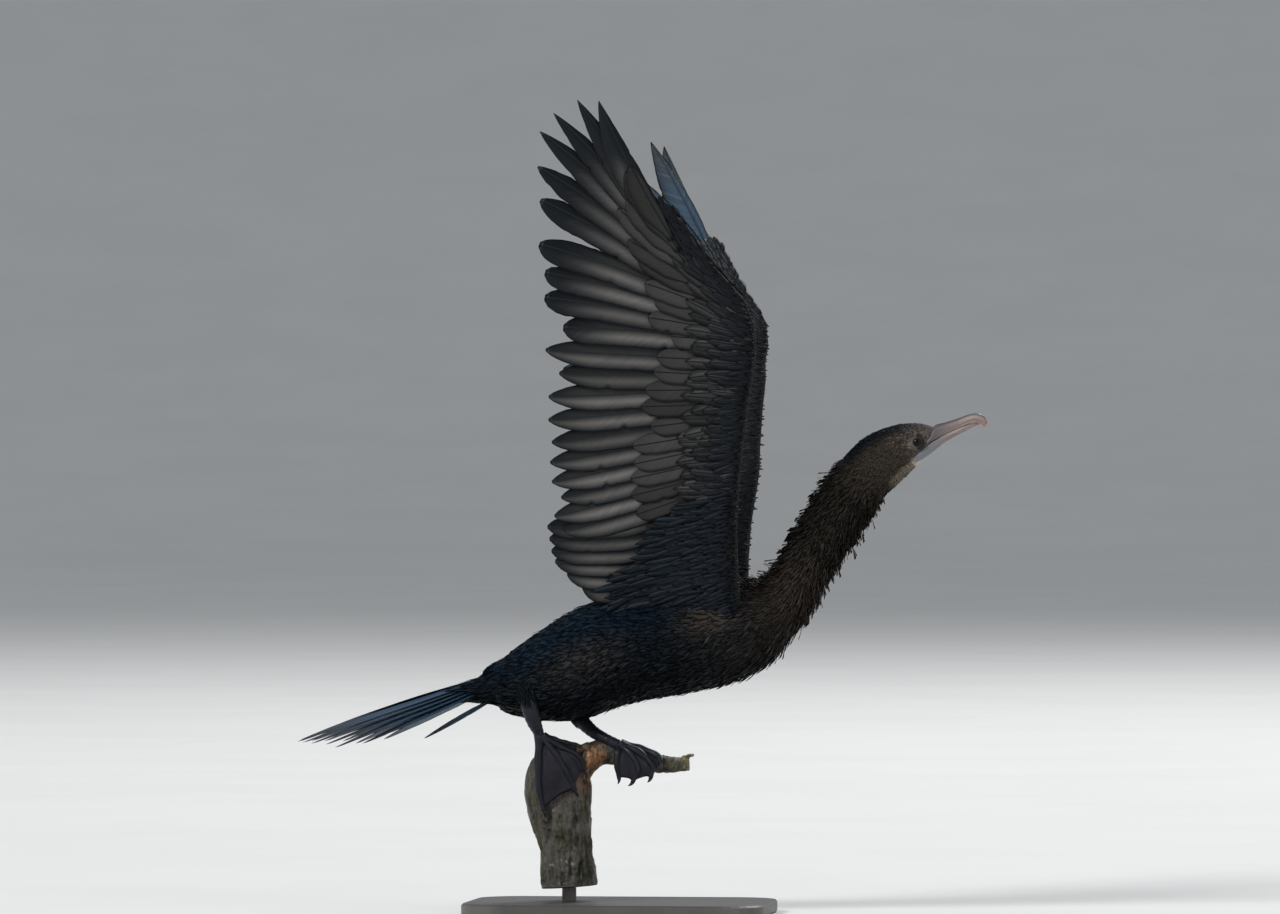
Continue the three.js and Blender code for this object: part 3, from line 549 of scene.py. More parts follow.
def new_group(name, inputs, outputs):
    """A node group, its inputs by name and a function that feeds its outputs."""
    tree = bpy.data.node_groups.new(name, "ShaderNodeTree")
    for label, kind, default in inputs:
        socket = tree.interface.new_socket(label, in_out="INPUT", socket_type=kind)
        if default is not None:
            socket.default_value = default
    for label, kind in outputs:
        tree.interface.new_socket(label, in_out="OUTPUT", socket_type=kind)
    given, out = tree.nodes.new("NodeGroupInput"), tree.nodes.new("NodeGroupOutput")

    def give(**sources):
        for label, source in sources.items():
            tree.links.new(source, out.inputs[label])

    return tree, given.outputs, give


FLOAT, COLOUR, VECTOR = "NodeSocketFloat", "NodeSocketColor", "NodeSocketVector"


def vane_group():
    """Barbs, shaft and edge of a feather, from where a point lies on its vane, with painted shade where
    its neighbour overlaps it.
    """
    tree, given, give = new_group(
        "Feather vane",
        [("Middle", COLOUR, None), ("Edge", COLOUR, None), ("Tip", COLOUR, None), ("Shaft", COLOUR, None),
         ("Edge start", FLOAT, 0.6), ("Tucked shade", FLOAT, 0.0), ("Tip start", FLOAT, 0.62),
         ("Barbs", FLOAT, 1.6), ("Wear", FLOAT, 0.5)],
        [("Color", COLOUR), ("Height", FLOAT), ("Gloss", FLOAT)],
    )
    place, along, tone = parts(tree, "vane")
    off_shaft, from_root, number = parts(tree, "reach")
    across = maths(tree, "ABSOLUTE", place)
    side = maths(tree, "ABSOLUTE", off_shaft)
    slant = scaled(tree, side, -1.3, from_root)
    barb_at = place_of(tree, times(tree, slant, given["Barbs"]), times(tree, side, 0.07), number)
    barbs = rough_noise(tree, barb_at, 1.0, 2.0, 0.7)
    clump_at = place_of(tree, times(tree, slant, 0.32), times(tree, side, 0.03), number)
    clump = rough_noise(tree, clump_at, 1.0, 2.0, 0.5)
    edge = spread(tree, scaled(tree, barbs, 0.3, across), given["Edge start"], 1.12)
    tip = spread(tree, scaled(tree, clump, 0.16, along), given["Tip start"],
                 maths(tree, "ADD", given["Tip start"], 0.42))
    shaft = spread(tree, side, 0.55, 0.2)
    base = blend(tree, edge, given["Middle"], given["Edge"])
    base = blend(tree, tip, base, given["Tip"])
    shade = times(tree, scaled(tree, barbs, 0.7, 0.62), scaled(tree, tone, 0.76, 0.62))
    # Painted shade: darker toward the part of the vane that its neighbour covers.
    painted_tuck_shade = times(tree, spread(tree, place, -0.5, 0.0), given["Tucked shade"])
    shade = times(tree, shade, maths(tree, "SUBTRACT", 1.0, painted_tuck_shade))
    shade = times(tree, shade, scaled(tree, clump, given["Wear"], 0.76))
    grey = put(tree, "ShaderNodeCombineColor", Red=shade, Green=shade, Blue=shade).outputs[0]
    base = blend(tree, shaft, blend(tree, 1.0, base, grey, "MULTIPLY"), given["Shaft"])
    give(Color=base, Height=maths(tree, "ADD", times(tree, barbs, 0.6), times(tree, clump, 0.5)),
         Gloss=scaled(tree, clump, 0.3, times(tree, edge, 0.08)))


def mottle_group():
    """Two scales of blotches that vary a colour and roughen a surface."""
    tree, given, give = new_group(
        "Mottle",
        [("Color", COLOUR, None), ("Second", COLOUR, None), ("Scale", FLOAT, 200.0),
         ("Amount", FLOAT, 0.5)],
        [("Color", COLOUR), ("Height", FLOAT)],
    )
    place = object_place(tree)
    coarse = rough_noise(tree, place, given["Scale"], 5.0, 0.62)
    fine = rough_noise(tree, place, times(tree, given["Scale"], 6.0), 3.0, 0.6)
    mask = times(tree, spread(tree, coarse, 0.38, 0.64), given["Amount"])
    give(Color=blend(tree, mask, given["Color"], given["Second"]),
         Height=scaled(tree, fine, 0.4, times(tree, coarse, 0.6)))


def scale_group():
    """Small scales of bare skin, as a height and a line mask."""
    tree, given, give = new_group(
        "Scaled skin", [("Size", FLOAT, 900.0), ("Stretch", VECTOR, (1.0, 1.0, 1.0))],
        [("Height", FLOAT), ("Line", FLOAT)],
    )
    cells = put(tree, "ShaderNodeTexVoronoi", {"feature": "DISTANCE_TO_EDGE"},
                Vector=stretched(tree, object_place(tree), given["Stretch"]), Scale=given["Size"])
    rise = spread(tree, cells.outputs["Distance"], 0.0, 0.16)
    give(Height=rise, Line=maths(tree, "SUBTRACT", 1.0, rise))


def new_material(name, roughness, specular=0.5, **constants):
    material = bpy.data.materials.new(name)
    material.use_nodes = True
    tree = material.node_tree
    shader = tree.nodes["Principled BSDF"]
    shader.inputs["Roughness"].default_value = roughness
    shader.inputs["Specular IOR Level"].default_value = specular
    for key, value in constants.items():
        feed(tree, shader.inputs[key.replace("_", " ")], value)
    return material, tree, shader


def place_group(tree, group, **inputs):
    return put(tree, "ShaderNodeGroup", {"node_tree": bpy.data.node_groups[group]}, **inputs).outputs


def dress(tree, shader, base, roughness=None, bump=None):
    """Feeds a finish to the shader: its colour, roughness, and a bump's height, strength and depth."""
    tree.links.new(base, shader.inputs["Base Color"])
    if roughness is not None:
        tree.links.new(roughness, shader.inputs["Roughness"])
    if bump is not None:
        height, strength, depth = bump
        node = put(tree, "ShaderNodeBump", Height=height, Strength=strength, Distance=depth)
        tree.links.new(node.outputs[0], shader.inputs["Normal"])


def mark_colours(tree, sizes):
    """The coat's own marks: black body, brown neck, pale chin. Also gives the share of painted blue sheen.
    """
    brown, pale, blue = parts(tree, "mark")
    base = blend(tree, brown, sizes.black, sizes.brown)
    return blend(tree, pale, base, sizes.chin), blue


def make_coat(sizes, name="body feathers", tint=(0.5, 0.75, 1.0), level=0.13, edges=0.4):
    material, tree, shader = new_material(name, 0.5, level, Specular_Tint=tint)
    base, share = mark_colours(tree, sizes)
    # Painted sheen: the blue share mixes the sky's reflection into the feathers' colour.
    blue = blend(tree, share, base, sizes.blue)
    dark = blend(tree, edges, blue, (0.0, 0.0, 0.0))
    vane = place_group(tree, "Feather vane", Middle=blue, Edge=dark, Tip=dark, Shaft=dark, Barbs=3.0,
                       Edge_start=0.66)
    dress(tree, shader, vane["Color"], maths(tree, "ADD", vane["Gloss"], 0.36),
          (vane["Height"], 0.5, 0.0003))
    return material


def make_neck_coat(sizes):
    return make_coat(sizes, "neck feathers", (1.0, 0.95, 0.9), 0.12, 0.62)


def make_flight(sizes, name="flight feathers", sheen=(0.7, 0.85, 1.0), level=0.22, top=None):
    """Flight feathers: grey and satin beneath, black and glossy with a painted blue sheen above, dark
    toward the tips.
    """
    material, tree, shader = new_material(name, 0.4, level, Specular_Tint=sheen)
    dark = parts(tree, "mark")[0]
    black = sizes.black
    # Painted sheen: the upper face's blue middle stands in for the sky's reflection.
    above = place_group(tree, "Feather vane", Middle=top or sizes.blue, Edge=black, Tip=black,
                        Shaft=(0.004, 0.004, 0.005), Edge_start=0.7)
    # Dark vane edges beneath, partly the feathers' own edge and partly painted shade of the gaps between
    # them.
    beneath = place_group(tree, "Feather vane", Middle=sizes.under, Edge=sizes.under_edge,
                          Tip=black, Shaft=(0.012, 0.011, 0.01), Edge_start=0.52, Tucked_shade=0.82,
                          Tip_start=scaled(tree, dark, -0.5, 0.84))
    dress(tree, shader, blend(tree, attribute(tree, "face", "Fac"), beneath["Color"], above["Color"]),
          maths(tree, "ADD", beneath["Gloss"], 0.27), (beneath["Height"], 0.55, 0.0004))
    return material


def make_tail(sizes):
    # The tail's upper colour is a painted blue sheen, the sky's reflection on its top.
    return make_flight(sizes, "tail feathers", (0.45, 0.7, 1.0), 0.34, (0.012, 0.034, 0.064))


def make_covert(sizes):
    """Wing coverts: marked grey beneath, some with a painted blue sheen, evenly dark above."""
    material, tree, shader = new_material("wing coverts", 0.45, 0.13, Specular_Tint=(0.7, 0.85, 1.0))
    mark = parts(tree, "mark")
    grey = blend(tree, mark[0], sizes.black, sizes.under)
    # Painted sheen: blue mixed in by the third share.
    grey = blend(tree, mark[2], grey, sizes.blue)
    middle = blend(tree, attribute(tree, "face", "Fac"), grey, sizes.covert)
    dark = blend(tree, 0.45, middle, sizes.black)
    vane = place_group(tree, "Feather vane", Middle=middle, Edge=dark, Tip=dark, Barbs=2.0,
                       Shaft=(0.006, 0.006, 0.006), Edge_start=0.6, Tip_start=0.78)
    dress(tree, shader, vane["Color"], maths(tree, "ADD", vane["Gloss"], 0.33),
          (vane["Height"], 0.5, 0.0003))
    return material


def make_skin(sizes):
    material, tree, shader = new_material("feathered skin", 0.7, 0.3)
    base, _ = mark_colours(tree, sizes)
    mottle = place_group(tree, "Mottle", Color=base, Second=(0.006, 0.006, 0.007), Scale=420.0,
                         Amount=0.6)
    dress(tree, shader, mottle["Color"], bump=(mottle["Height"], 0.5, 0.0004))
    return material


def make_bill(sizes):
    """Horn: pinkish, dark along the ridge and at its root, blue-grey at the base of the lower half."""
    material, tree, shader = new_material("bill horn", 0.36, Subsurface_Weight=0.12,
                                          Subsurface_Scale=0.002)
    along, height, lower = parts(tree, "zone")
    streak_at = place_of(tree, times(tree, along, 2.2), times(tree, height, 15.0), lower)
    streaks = rough_noise(tree, streak_at, 1.0, 5.0, 0.65)
    base = blend(tree, spread(tree, streaks, 0.36, 0.66), sizes.horn, sizes.horn_dark)
    ridge = spread(tree, scaled(tree, streaks, 0.2, height), 0.62, 0.95)
    base = blend(tree, ridge, base, (0.045, 0.034, 0.032))
    low = times(tree, lower, spread(tree, along, 0.62, 0.2))
    base = blend(tree, times(tree, low, 0.75), base, (0.2, 0.23, 0.27))
    root = spread(tree, scaled(tree, streaks, 0.5, along), 0.92, 0.5)
    root = times(tree, root, scaled(tree, lower, -0.6, 0.9))
    base = blend(tree, root, base, (0.04, 0.04, 0.046))
    nail = spread(tree, scaled(tree, streaks, 0.06, along), 0.86, 0.98)
    base = blend(tree, times(tree, nail, 0.7), base, (0.36, 0.17, 0.13))
    pits = rough_noise(tree, object_place(tree), 1500.0)
    dress(tree, shader, base, spread(tree, pits, 0.3, 0.7, 0.28, 0.48),
          (scaled(tree, pits, 0.3, streaks), 0.35, 0.0002))
    return material


def make_bare_skin(sizes):
    """Pale specks of skin round the eye."""
    material, tree, shader = new_material("eye ring skin", 0.55, 0.4)
    scales = place_group(tree, "Scaled skin", Size=1300.0)
    mottle = place_group(tree, "Mottle", Color=(0.014, 0.012, 0.011), Second=(0.04, 0.034, 0.03),
                         Scale=900.0, Amount=0.8)
    base = blend(tree, scales["Line"], mottle["Color"], (0.012, 0.011, 0.01))
    pale = spread(tree, attribute(tree, "bead", "Fac"), 0.45, 0.8)
    base = blend(tree, pale, base, (0.15, 0.135, 0.11))
    dress(tree, shader, base, bump=(scales["Height"], 0.6, 0.0002))
    return material


def make_eye(sizes):
    """A dark brown iris round a black pupil, under a clear wet surface."""
    material, tree, shader = new_material("wet eye", 0.05, 0.16)
    fibres = rough_noise(tree, object_place(tree), 2600.0)
    iris = blend(tree, fibres, (0.014, 0.008, 0.005), (0.006, 0.004, 0.003))
    outside = spread(tree, attribute(tree, "iris", "Fac"), 0.5, 0.58)
    dress(tree, shader, blend(tree, outside, (0.002, 0.002, 0.002), iris),
          spread(tree, fibres, 0.3, 0.7, 0.03, 0.08))
    return material


def make_foot(sizes):
    """Wet black skin with fine scales, and purplish webs."""
    material, tree, shader = new_material("foot skin", 0.4, 0.24, Specular_Tint=(0.65, 0.8, 1.0),
                                          Coat_Weight=0.1, Coat_Roughness=0.2)
    scales = place_group(tree, "Scaled skin", Size=820.0, Stretch=(1.0, 1.0, 1.5))
    toe = place_group(tree, "Mottle", Color=sizes.foot, Second=(0.02, 0.019, 0.024), Scale=300.0,
                      Amount=0.7)
    web = place_group(tree, "Mottle", Color=(0.009, 0.007, 0.009), Second=(0.022, 0.016, 0.02),
                      Scale=160.0, Amount=0.8)
    base = blend(tree, attribute(tree, "web", "Fac"), toe["Color"], web["Color"])
    base = blend(tree, times(tree, scales["Line"], 0.6), base, (0.007, 0.006, 0.008))
    dress(tree, shader, base, spread(tree, toe["Height"], 0.35, 0.65, 0.3, 0.5),
          (scales["Height"], 0.38, 0.0002))
    return material


def make_claw(sizes):
    material, tree, shader = new_material("claw horn", 0.3, 0.5)
    mottle = place_group(tree, "Mottle", Color=(0.01, 0.009, 0.01), Second=(0.05, 0.042, 0.038),
                         Scale=700.0, Amount=0.5)
    dress(tree, shader, mottle["Color"], spread(tree, mottle["Height"], 0.3, 0.7, 0.22, 0.42),
          (mottle["Height"], 0.3, 0.0002))
    return material


def make_bark(sizes):
    """Wet bark: olive and grey-brown, rotten orange wood where it broke, pale at the branch's end."""
    material, tree, shader = new_material("wet bark", 0.6, 0.5, Coat_Roughness=0.25)
    place = object_place(tree)
    rotten, end, crack_shade = parts(tree, "bark")
    fibres = rough_noise(tree, stretched(tree, place, (1.0, 1.0, 0.3)), 620.0, 8.0, 0.74)
    moss = rough_noise(tree, place, 85.0, 6.0, 0.65)
    base = blend(tree, spread(tree, fibres, 0.38, 0.62), (0.012, 0.01, 0.007), sizes.bark)
    green = times(tree, spread(tree, moss, 0.46, 0.66), 0.7)
    base = blend(tree, green, base, (0.042, 0.046, 0.014))
    orange = blend(tree, spread(tree, fibres, 0.4, 0.6), (0.045, 0.017, 0.007), (0.36, 0.15, 0.04))
    base = blend(tree, rotten, base, orange)
    straw = blend(tree, spread(tree, fibres, 0.4, 0.62), (0.04, 0.036, 0.014), (0.3, 0.25, 0.1))
    base = blend(tree, end, base, straw)
    pale = times(tree, spread(tree, rough_noise(tree, place, 330.0, 5.0, 0.7), 0.62, 0.72), 0.6)
    base = blend(tree, pale, base, (0.2, 0.2, 0.17))
    # Painted shade: the cracks in the bark are darkened.
    base = blend(tree, times(tree, crack_shade, 0.75), base, (0.01, 0.009, 0.007))
    tree.links.new(spread(tree, moss, 0.6, 0.35, 0.0, 0.5), shader.inputs["Coat Weight"])
    dress(tree, shader, base, spread(tree, moss, 0.35, 0.65, 0.34, 0.75),
          (maths(tree, "ADD", fibres, times(tree, moss, 0.5)), 1.0, 0.0013))
    return material


def make_paint(sizes):
    """Satin dark paint with fine orange peel, dust and worn edges."""
    material, tree, shader = new_material("stand paint", 0.42, 0.5)
    mottle = place_group(tree, "Mottle", Color=sizes.paint, Second=(0.06, 0.06, 0.058), Scale=30.0,
                         Amount=0.35)
    worn = spread(tree, put(tree, "ShaderNodeNewGeometry").outputs["Pointiness"], 0.52, 0.6)
    peel = rough_noise(tree, object_place(tree), 900.0, 2.0)
    dress(tree, shader, blend(tree, worn, mottle["Color"], (0.14, 0.13, 0.12)),
          spread(tree, mottle["Height"], 0.3, 0.7, 0.34, 0.52), (peel, 0.12, 0.0002))
    return material


def make_floor(sizes):
    material, tree, shader = new_material("pale floor", 0.7, 0.3)
    mottle = place_group(tree, "Mottle", Color=(0.66, 0.66, 0.65), Second=(0.63, 0.63, 0.62),
                         Scale=3.0, Amount=0.6)
    dress(tree, shader, mottle["Color"])
    return material


MAKERS = {
    "coat": make_coat, "neck": make_neck_coat, "flight": make_flight, "tail": make_tail,
    "covert": make_covert, "skin": make_skin, "bill": make_bill, "bare": make_bare_skin, "eye": make_eye,
    "foot": make_foot, "claw": make_claw, "bark": make_bark, "paint": make_paint, "floor": make_floor,
}
MADE = {}


def material_for(name):
    """The named material, made once, with the shared node groups."""
    if "Feather vane" not in bpy.data.node_groups:
        vane_group()
        mottle_group()
        scale_group()
    if name not in MADE:
        MADE[name] = MAKERS[name](bpy.context.scene.cormorant)
    return MADE[name]


# Brown share of the coat: place along the spine, share
BROWN = ([NECK_AT - 60, NECK_AT - 18, NECK_AT + 14, NECK_AT + 48, HEAD_AT - 14, HEAD_AT + 10],
         [0, 0.2, 0.9, 0.4, 0.36, 1.0])
# A tuft on each shoulder: place along the spine, and its turn and how wide it is
TUFT_AT = NECK_AT - 32
TUFT_TURN = (1.25, 0.4)
# The thighs under the coat: place in front of the rump, turn from the back
THIGHS = [(39, -2.0), (58, 2.5)]
# How much the feathers' lengths and widths vary
LENGTHS, WIDTHS = (0.75, 1.2), (0.75, 1.25)
# Loose feathers that stand off the coat: how many, and how much higher
STRAYS, STRAY_RISE = 0.06, 0.45


# Coat pieces of the body: name, seed, and the turns from the back that each covers
BODY_COATS = [
    ("coat_back", 3, (-0.8, 0.8)), ("coat_left", 4, (0.75, 2.35)),
    ("coat_belly", 7, (2.3, FULL_TURN - 2.3)), ("coat_right", 8, (-2.35, -0.75)),
]
# Coat pieces of the neck: name, seed, and the stretch of the spine
NECK_COATS = [
    ("coat_neck_low", 5, (NECK_AT - 14, NECK_AT + 46)), ("coat_neck_high", 9, (NECK_AT + 45, HEAD_AT)),
]


def markings(at, turn):
    """Brown and pale shares of the coat at a place on the body, and the share of painted blue sheen."""
    side = np.abs(turn)
    tuft = hump(at, TUFT_AT, 20) * hump(side, *TUFT_TURN)
    worn = hump(at, RUMP_AT + 78, 26) * hump(side, 1.5, 0.35)
    brown = np.maximum(np.interp(at, *BROWN), np.maximum(0.8 * tuft, 0.3 * worn))
    crown = smooth(side, 1.15, 0.5) * smooth(at, HEAD_AT - 10, HEAD_AT + 14)
    brown = brown * (1 - 0.85 * crown) * (1 - 0.45 * smooth(side, 0.9, 0.3))
    chin = smooth(side, 2.25, 2.6) * smooth(at, HEAD_AT + 6, HEAD_AT + 18)
    # Painted sheen: the back, the sides and the crown get a blue share for the sky's reflection in the
    # glossy feathers.
    blue = smooth(side, 2.0, 0.6) * (1 - brown) * (1 - smooth(at, NECK_AT - 20, NECK_AT + 5))
    return np.stack([brown, chin, np.maximum(blue * 0.6, crown * 0.7)], -1)


def scatter(pick, stretch, step, gap, turns):
    """Staggered places over a stretch of the body, row by row."""
    places, at = [], stretch[0]
    while at < stretch[1]:
        girth = body_girth(at)
        count = max(3, int((turns[1] - turns[0]) * girth / gap))
        stagger = 0.5 * (len(places) % 2)
        turn = turns[0] + (np.arange(count) + stagger) / count * (turns[1] - turns[0])
        jitter = pick.normal(0, 0.28, (2, count))
        places.append(np.stack([at + jitter[0] * step, turn + jitter[1] * gap / girth], -1))
        at += step
    return np.vstack(places)


def clumps(at, turn):
    """Wet feathers gather in tufts: 0 between them, 1 in their middle."""
    return 0.5 + 0.5 * np.sin(at * 0.85 + 4 * np.sin(turn * 3)) * np.sin(turn * 9 + at * 0.33)


def bare(at, turn, length):
    """Whether a feather would cover the bill's horn or the eye."""
    covered = np.zeros(len(at), bool)
    for share in (0, 0.35, 0.7, 1):
        x, _, z = body_point(at - share * length, turn, 0 * at).T
        covered |= np.hypot(x - EYE[0], z - EYE[2]) < 4
        covered |= (share == 0) & (x > np.interp(z, *HORN_EDGE))
    return covered


def vane_values(shape, place, reach, mark):
    """What the feather materials read: place on the vane and tone, real distances, and the marking with
    its share of painted sheen.
    """
    def stack(values):
        return np.stack([np.broadcast_to(value, shape) for value in values], -1)

    return {"vane": stack(place), "reach": stack(reach), "mark": np.broadcast_to(mark, shape + (3,))}


def tapered(s):
    """Half width of a body feather along its length, as a share of the widest."""
    return (0.4 + 0.6 * smooth(s, 0, 0.35)) * np.clip(1 - ramp(s, 0.35, 1.0) ** 1.6, 0.0, 1) ** 0.8 + 0.04


def body_vanes(name, seed, stretch, step, gap, length, width, lift, rows=5, turns=(-math.pi, math.pi)):
    """Feathers that lie over the body, each bent to its surface and frayed at its tip.

    length, width and lift are functions of the place along the spine and the turn round it.
    """
    pick = np.random.default_rng(seed)
    places = scatter(pick, stretch, step, gap, turns)
    places[:, 1] = np.mod(places[:, 1] + math.pi, FULL_TURN) - math.pi
    places = places[~bare(places[:, 0], places[:, 1], length(places[:, 0], places[:, 1]))]
    at, turn = places[:, 0, None, None], places[:, 1, None, None]
    columns = 3
    each = (len(places), 1, 1)
    size = length(at, turn) * pick.uniform(*LENGTHS, each)
    wide = width(at, turn) * pick.uniform(*WIDTHS, each)
    s = np.linspace(0, 1, rows)[None, :, None]
    t = np.linspace(-1, 1, columns)[None, None, :]
    comb = np.abs(np.sin(np.arange(columns) * 1.9 + 0.6))
    ends = 1 - FRINGE * pick.uniform(0, 1, (len(places), 1, columns)) * comb
    reach = s * mix(1, ends, s)
    drift = pick.normal(0, 0.16, each)
    along = at - reach * size * np.cos(drift)
    bend = pick.normal(0, 0.1, each) * s**2 * size
    off_shaft = t * wide * tapered(s)
    around = turn + (off_shaft + np.sin(drift) * reach * size + bend) / body_girth(at)
    stray = 1 + STRAY_RISE * (pick.uniform(0, 1, each) > 1 - STRAYS)
    raise_by = lift(at, turn) * pick.uniform(0.6, 1.12, each) * stray
    rise = -0.5 + raise_by * s**0.8 + 0.06 * wide * (1 - t**2)
    tone = pick.uniform(0, 1, each)
    values = vane_values(reach.shape, (t, reach, tone), (off_shaft, reach * size, tone * 40),
                         markings(at, turn))
    place = np.stack([0.5 + 0.48 * places[:, 1] / math.pi, 0.02 + 0.96 * places[:, 0] / BODY_LENGTH], -1)
    top, under = (body_point(along, around, rise + half) for half in (BODY_VANE, -BODY_VANE))
    return join_grids(name, top, under, values, np.clip(place, 0.01, 0.99))


def body_length(at, turn):
    base = np.interp(at - RUMP_AT, [-20, 20, 60, 150, NECK_AT - RUMP_AT], [26, 22, 16, 14, 12])
    return base * mix(1, 0.9, smooth(np.abs(turn), 1.5, 2.5))


def body_width(at, turn):
    return np.interp(at - RUMP_AT, [-10, 60, 150, NECK_AT - RUMP_AT], [1.9, 1.5, 1.2, 0.9])


def body_lift(at, turn):
    """How far the body's feathers stand off: more in tufts and over the thighs."""
    side = np.abs(turn)
    low = smooth(side, 2.1, 2.9) * smooth(at, NECK_AT - 50, NECK_AT - 12)
    tuft = hump(at, TUFT_AT, 18) * hump(side, *TUFT_TURN)
    flat = 0.6 * smooth(at, RUMP_AT + 30, RUMP_AT)
    thigh = sum(hump(at, RUMP_AT + place, 9) * hump(turn, middle, 0.3) for place, middle in THIGHS)
    return 2.1 - flat + 3.2 * thigh + 4.5 * low * clumps(at, turn) + 2.6 * tuft * clumps(at, turn)


def neck_length(at, turn):
    return mix(9.5, 7, smooth(at, HEAD_AT - 40, HEAD_AT))


def neck_width(at, turn):
    return NECK_VANE


def neck_lift(ruffle):
    """How far the neck's feathers stand off, in spiky clumps where it is wet."""
    def lift(at, turn):
        body = 1 - smooth(at, NECK_AT - 12, NECK_AT + 14)
        head = smooth(at, HEAD_AT - 12, HEAD_AT + 10)
        spiky = ruffle * (0.5 + 1.05 * clumps(at, turn)) * (0.75 + 0.45 * np.cos(turn) ** 2)
        return mix(mix(spiky, 2.3, body), 1.5, head)

    return lift


def head_length(at, turn):
    return np.interp(at, [HEAD_AT, BODY_LENGTH - 22, BODY_LENGTH - 8, BODY_LENGTH], [6.5, 4, 2, 1.4])


def head_width(at, turn):
    return np.interp(at, [HEAD_AT, BODY_LENGTH], [0.5, 0.3])


def head_lift(at, turn):
    return np.interp(at, [HEAD_AT, BODY_LENGTH - 15, BODY_LENGTH], [1.5, 0.7, 0.45])


def on_tube(line, share, turn, rise):
    """Points at a share of a tube's length, a turn round it and a rise over it."""
    at, every = share * (len(line) - 1), np.arange(len(line))
    spot = np.stack([np.interp(at, every, line[:, k]) for k in range(4)], -1)
    ahead = np.gradient(line[:, :3], axis=0)
    step = unit(np.stack([np.interp(at, every, ahead[:, k]) for k in range(3)], -1))
    first = unit(np.cross(step, NEARLY_ACROSS))
    outward = np.cos(turn)[..., None] * first + np.sin(turn)[..., None] * np.cross(step, first)
    return spot[..., :3] + (spot[..., 3] + rise)[..., None] * outward


def thigh_vanes(name, knots, seed):
    """Short feathers that run down over the top of a leg, thinner toward the bare skin."""
    pick = np.random.default_rng(seed)
    line = spline(knots, 90)
    each = (THIGH_COUNT, 1, 1)
    start = THIGH_REACH * np.sqrt(pick.uniform(0, 1, THIGH_COUNT))
    around = pick.uniform(0, FULL_TURN, THIGH_COUNT)
    s = np.linspace(0, 1, 5)[None, :, None]
    t = np.linspace(-1, 1, 3)[None, None, :]
    share = start[:, None, None] + s * pick.uniform(0.1, 0.17, each) + 0 * t
    taper = (0.4 + 0.6 * smooth(s, 0, 0.35)) * (1 - ramp(s, 0.35, 1) ** 1.6 * 0.94)
    wide = pick.uniform(0.8, 1.3, each) * taper
    turn = around[:, None, None] + t * wide / 5
    rise = mix(1.6, 0.5, start / THIGH_REACH)[:, None, None] * s + 0 * t + 0.1
    tone = pick.uniform(0, 1, each)
    values = vane_values(share.shape, (t, s, tone), (t * wide, s * 7, tone * 40), np.zeros(3))
    place = np.stack([0.05 + 0.9 * around / FULL_TURN, 0.05 + 0.9 * start / THIGH_REACH], -1)
    top, under = (on_tube(line, share, turn, rise + half) for half in (BODY_VANE, -BODY_VANE))
    return join_grids(name, top, under, values, place)


def vane_outline(s, pointed):
    """Width of a flight feather's web along its length, as a share of its full width."""
    start = mix(0.8, 0.5, pointed)
    power = mix(2.3, 1.6, pointed)
    tip = np.clip(1 - ramp(s, start, 1.004) ** power, 0, 1) ** mix(0.55, 0.9, pointed)
    return (0.3 + 0.7 * smooth(s, 0.02, 0.4)) * tip + 0.015


def sheet_vanes(name, spot, row, grid, seed, mark, face=None, drape=None, cells=None, thick=FLIGHT_VANE):
    """Feathers laid on a sheet, each a grid of rows and columns.

    row is a dict of equal arrays, one value for each feather. face is 0 beneath, 1 above, and None
    where a feather shows both. drape lays the feathers over the arm. cells is the size of each
    feather's own rectangle on the unwrap.
    """
    pick = np.random.default_rng(seed)
    rows, columns = grid
    count = len(row["a"])
    get = {key: np.asarray(value, float)[:, None, None] for key, value in row.items()}
    s = (np.linspace(0, 1, rows) ** 0.92)[None, :, None]
    line = np.linspace(-1, 1, columns)
    t = (np.sign(line) * np.abs(line) ** 0.9)[None, None, :]
    rough = 1 - FRAY * np.abs(pick.normal(0, 1, (count, rows, 1))) * (np.abs(t) > 0.9)
    cut = pick.uniform(0.35, 0.95, (count, 1, 2))
    for k in (0, 1):
        rough = rough - CUT_DEPTH * hump(s, cut[:, :, k:k + 1], CUT_WIDTH) * (t * (1 - 2 * k) > 0.6)
    web = np.where(t < 0, get["inner"], get["outer"]) * vane_outline(s, get["pointed"]) * rough
    lean = np.radians(get["angle"])
    along = s * get["length"] + np.abs(t) * web * BARB_SWEEP * (1 - s**3)
    across = get["bow"] * 4 * s * (1 - s) + t * web
    a = get["a"] + np.cos(lean) * along + np.sin(lean) * across
    b = get["b"] - np.sin(lean) * along + np.cos(lean) * across
    h = get["lift"] + get["rise"] * s - get["tilt"] * t * web - VANE_ARCH * web * t**2
    if drape:
        h = drape(a, b, h)
    shaft = np.clip(1 - np.abs(t) * 9, 0, 1) * mix(*SHAFT_RISE, s)
    tone = pick.uniform(0, 1, (count, 1, 1))
    mark = np.asarray(mark, float).reshape(-1, 1, 1, 3)
    values = vane_values(h.shape, (t, s, tone), (t * web, along, tone * 60), mark)
    if cells:
        down, over = np.divmod(np.arange(count), int(0.5 / cells[0]))
        place = np.stack([(over + 0.5) * cells[0], (down + 0.5) * cells[1]], -1)
        cells = (cells[0] * 0.9, cells[1] * 0.94)
    else:
        place = 0.05 + 0.9 * np.stack([ramp(row["b"], -130, 30), ramp(row["a"], -30, 330)], -1)
    top, under = spot(a, b, h + thick + shaft), spot(a, b, h - thick - shaft)
    mesh = join_grids(name, top, under, values, place, cells)
    points = len(mesh.vertices)
    if face is None:
        side = np.tile(np.arange(points // count) >= rows * columns, count)
    else:
        side = np.full(points, face)
    set_attribute(mesh, "face", side)
    return mesh


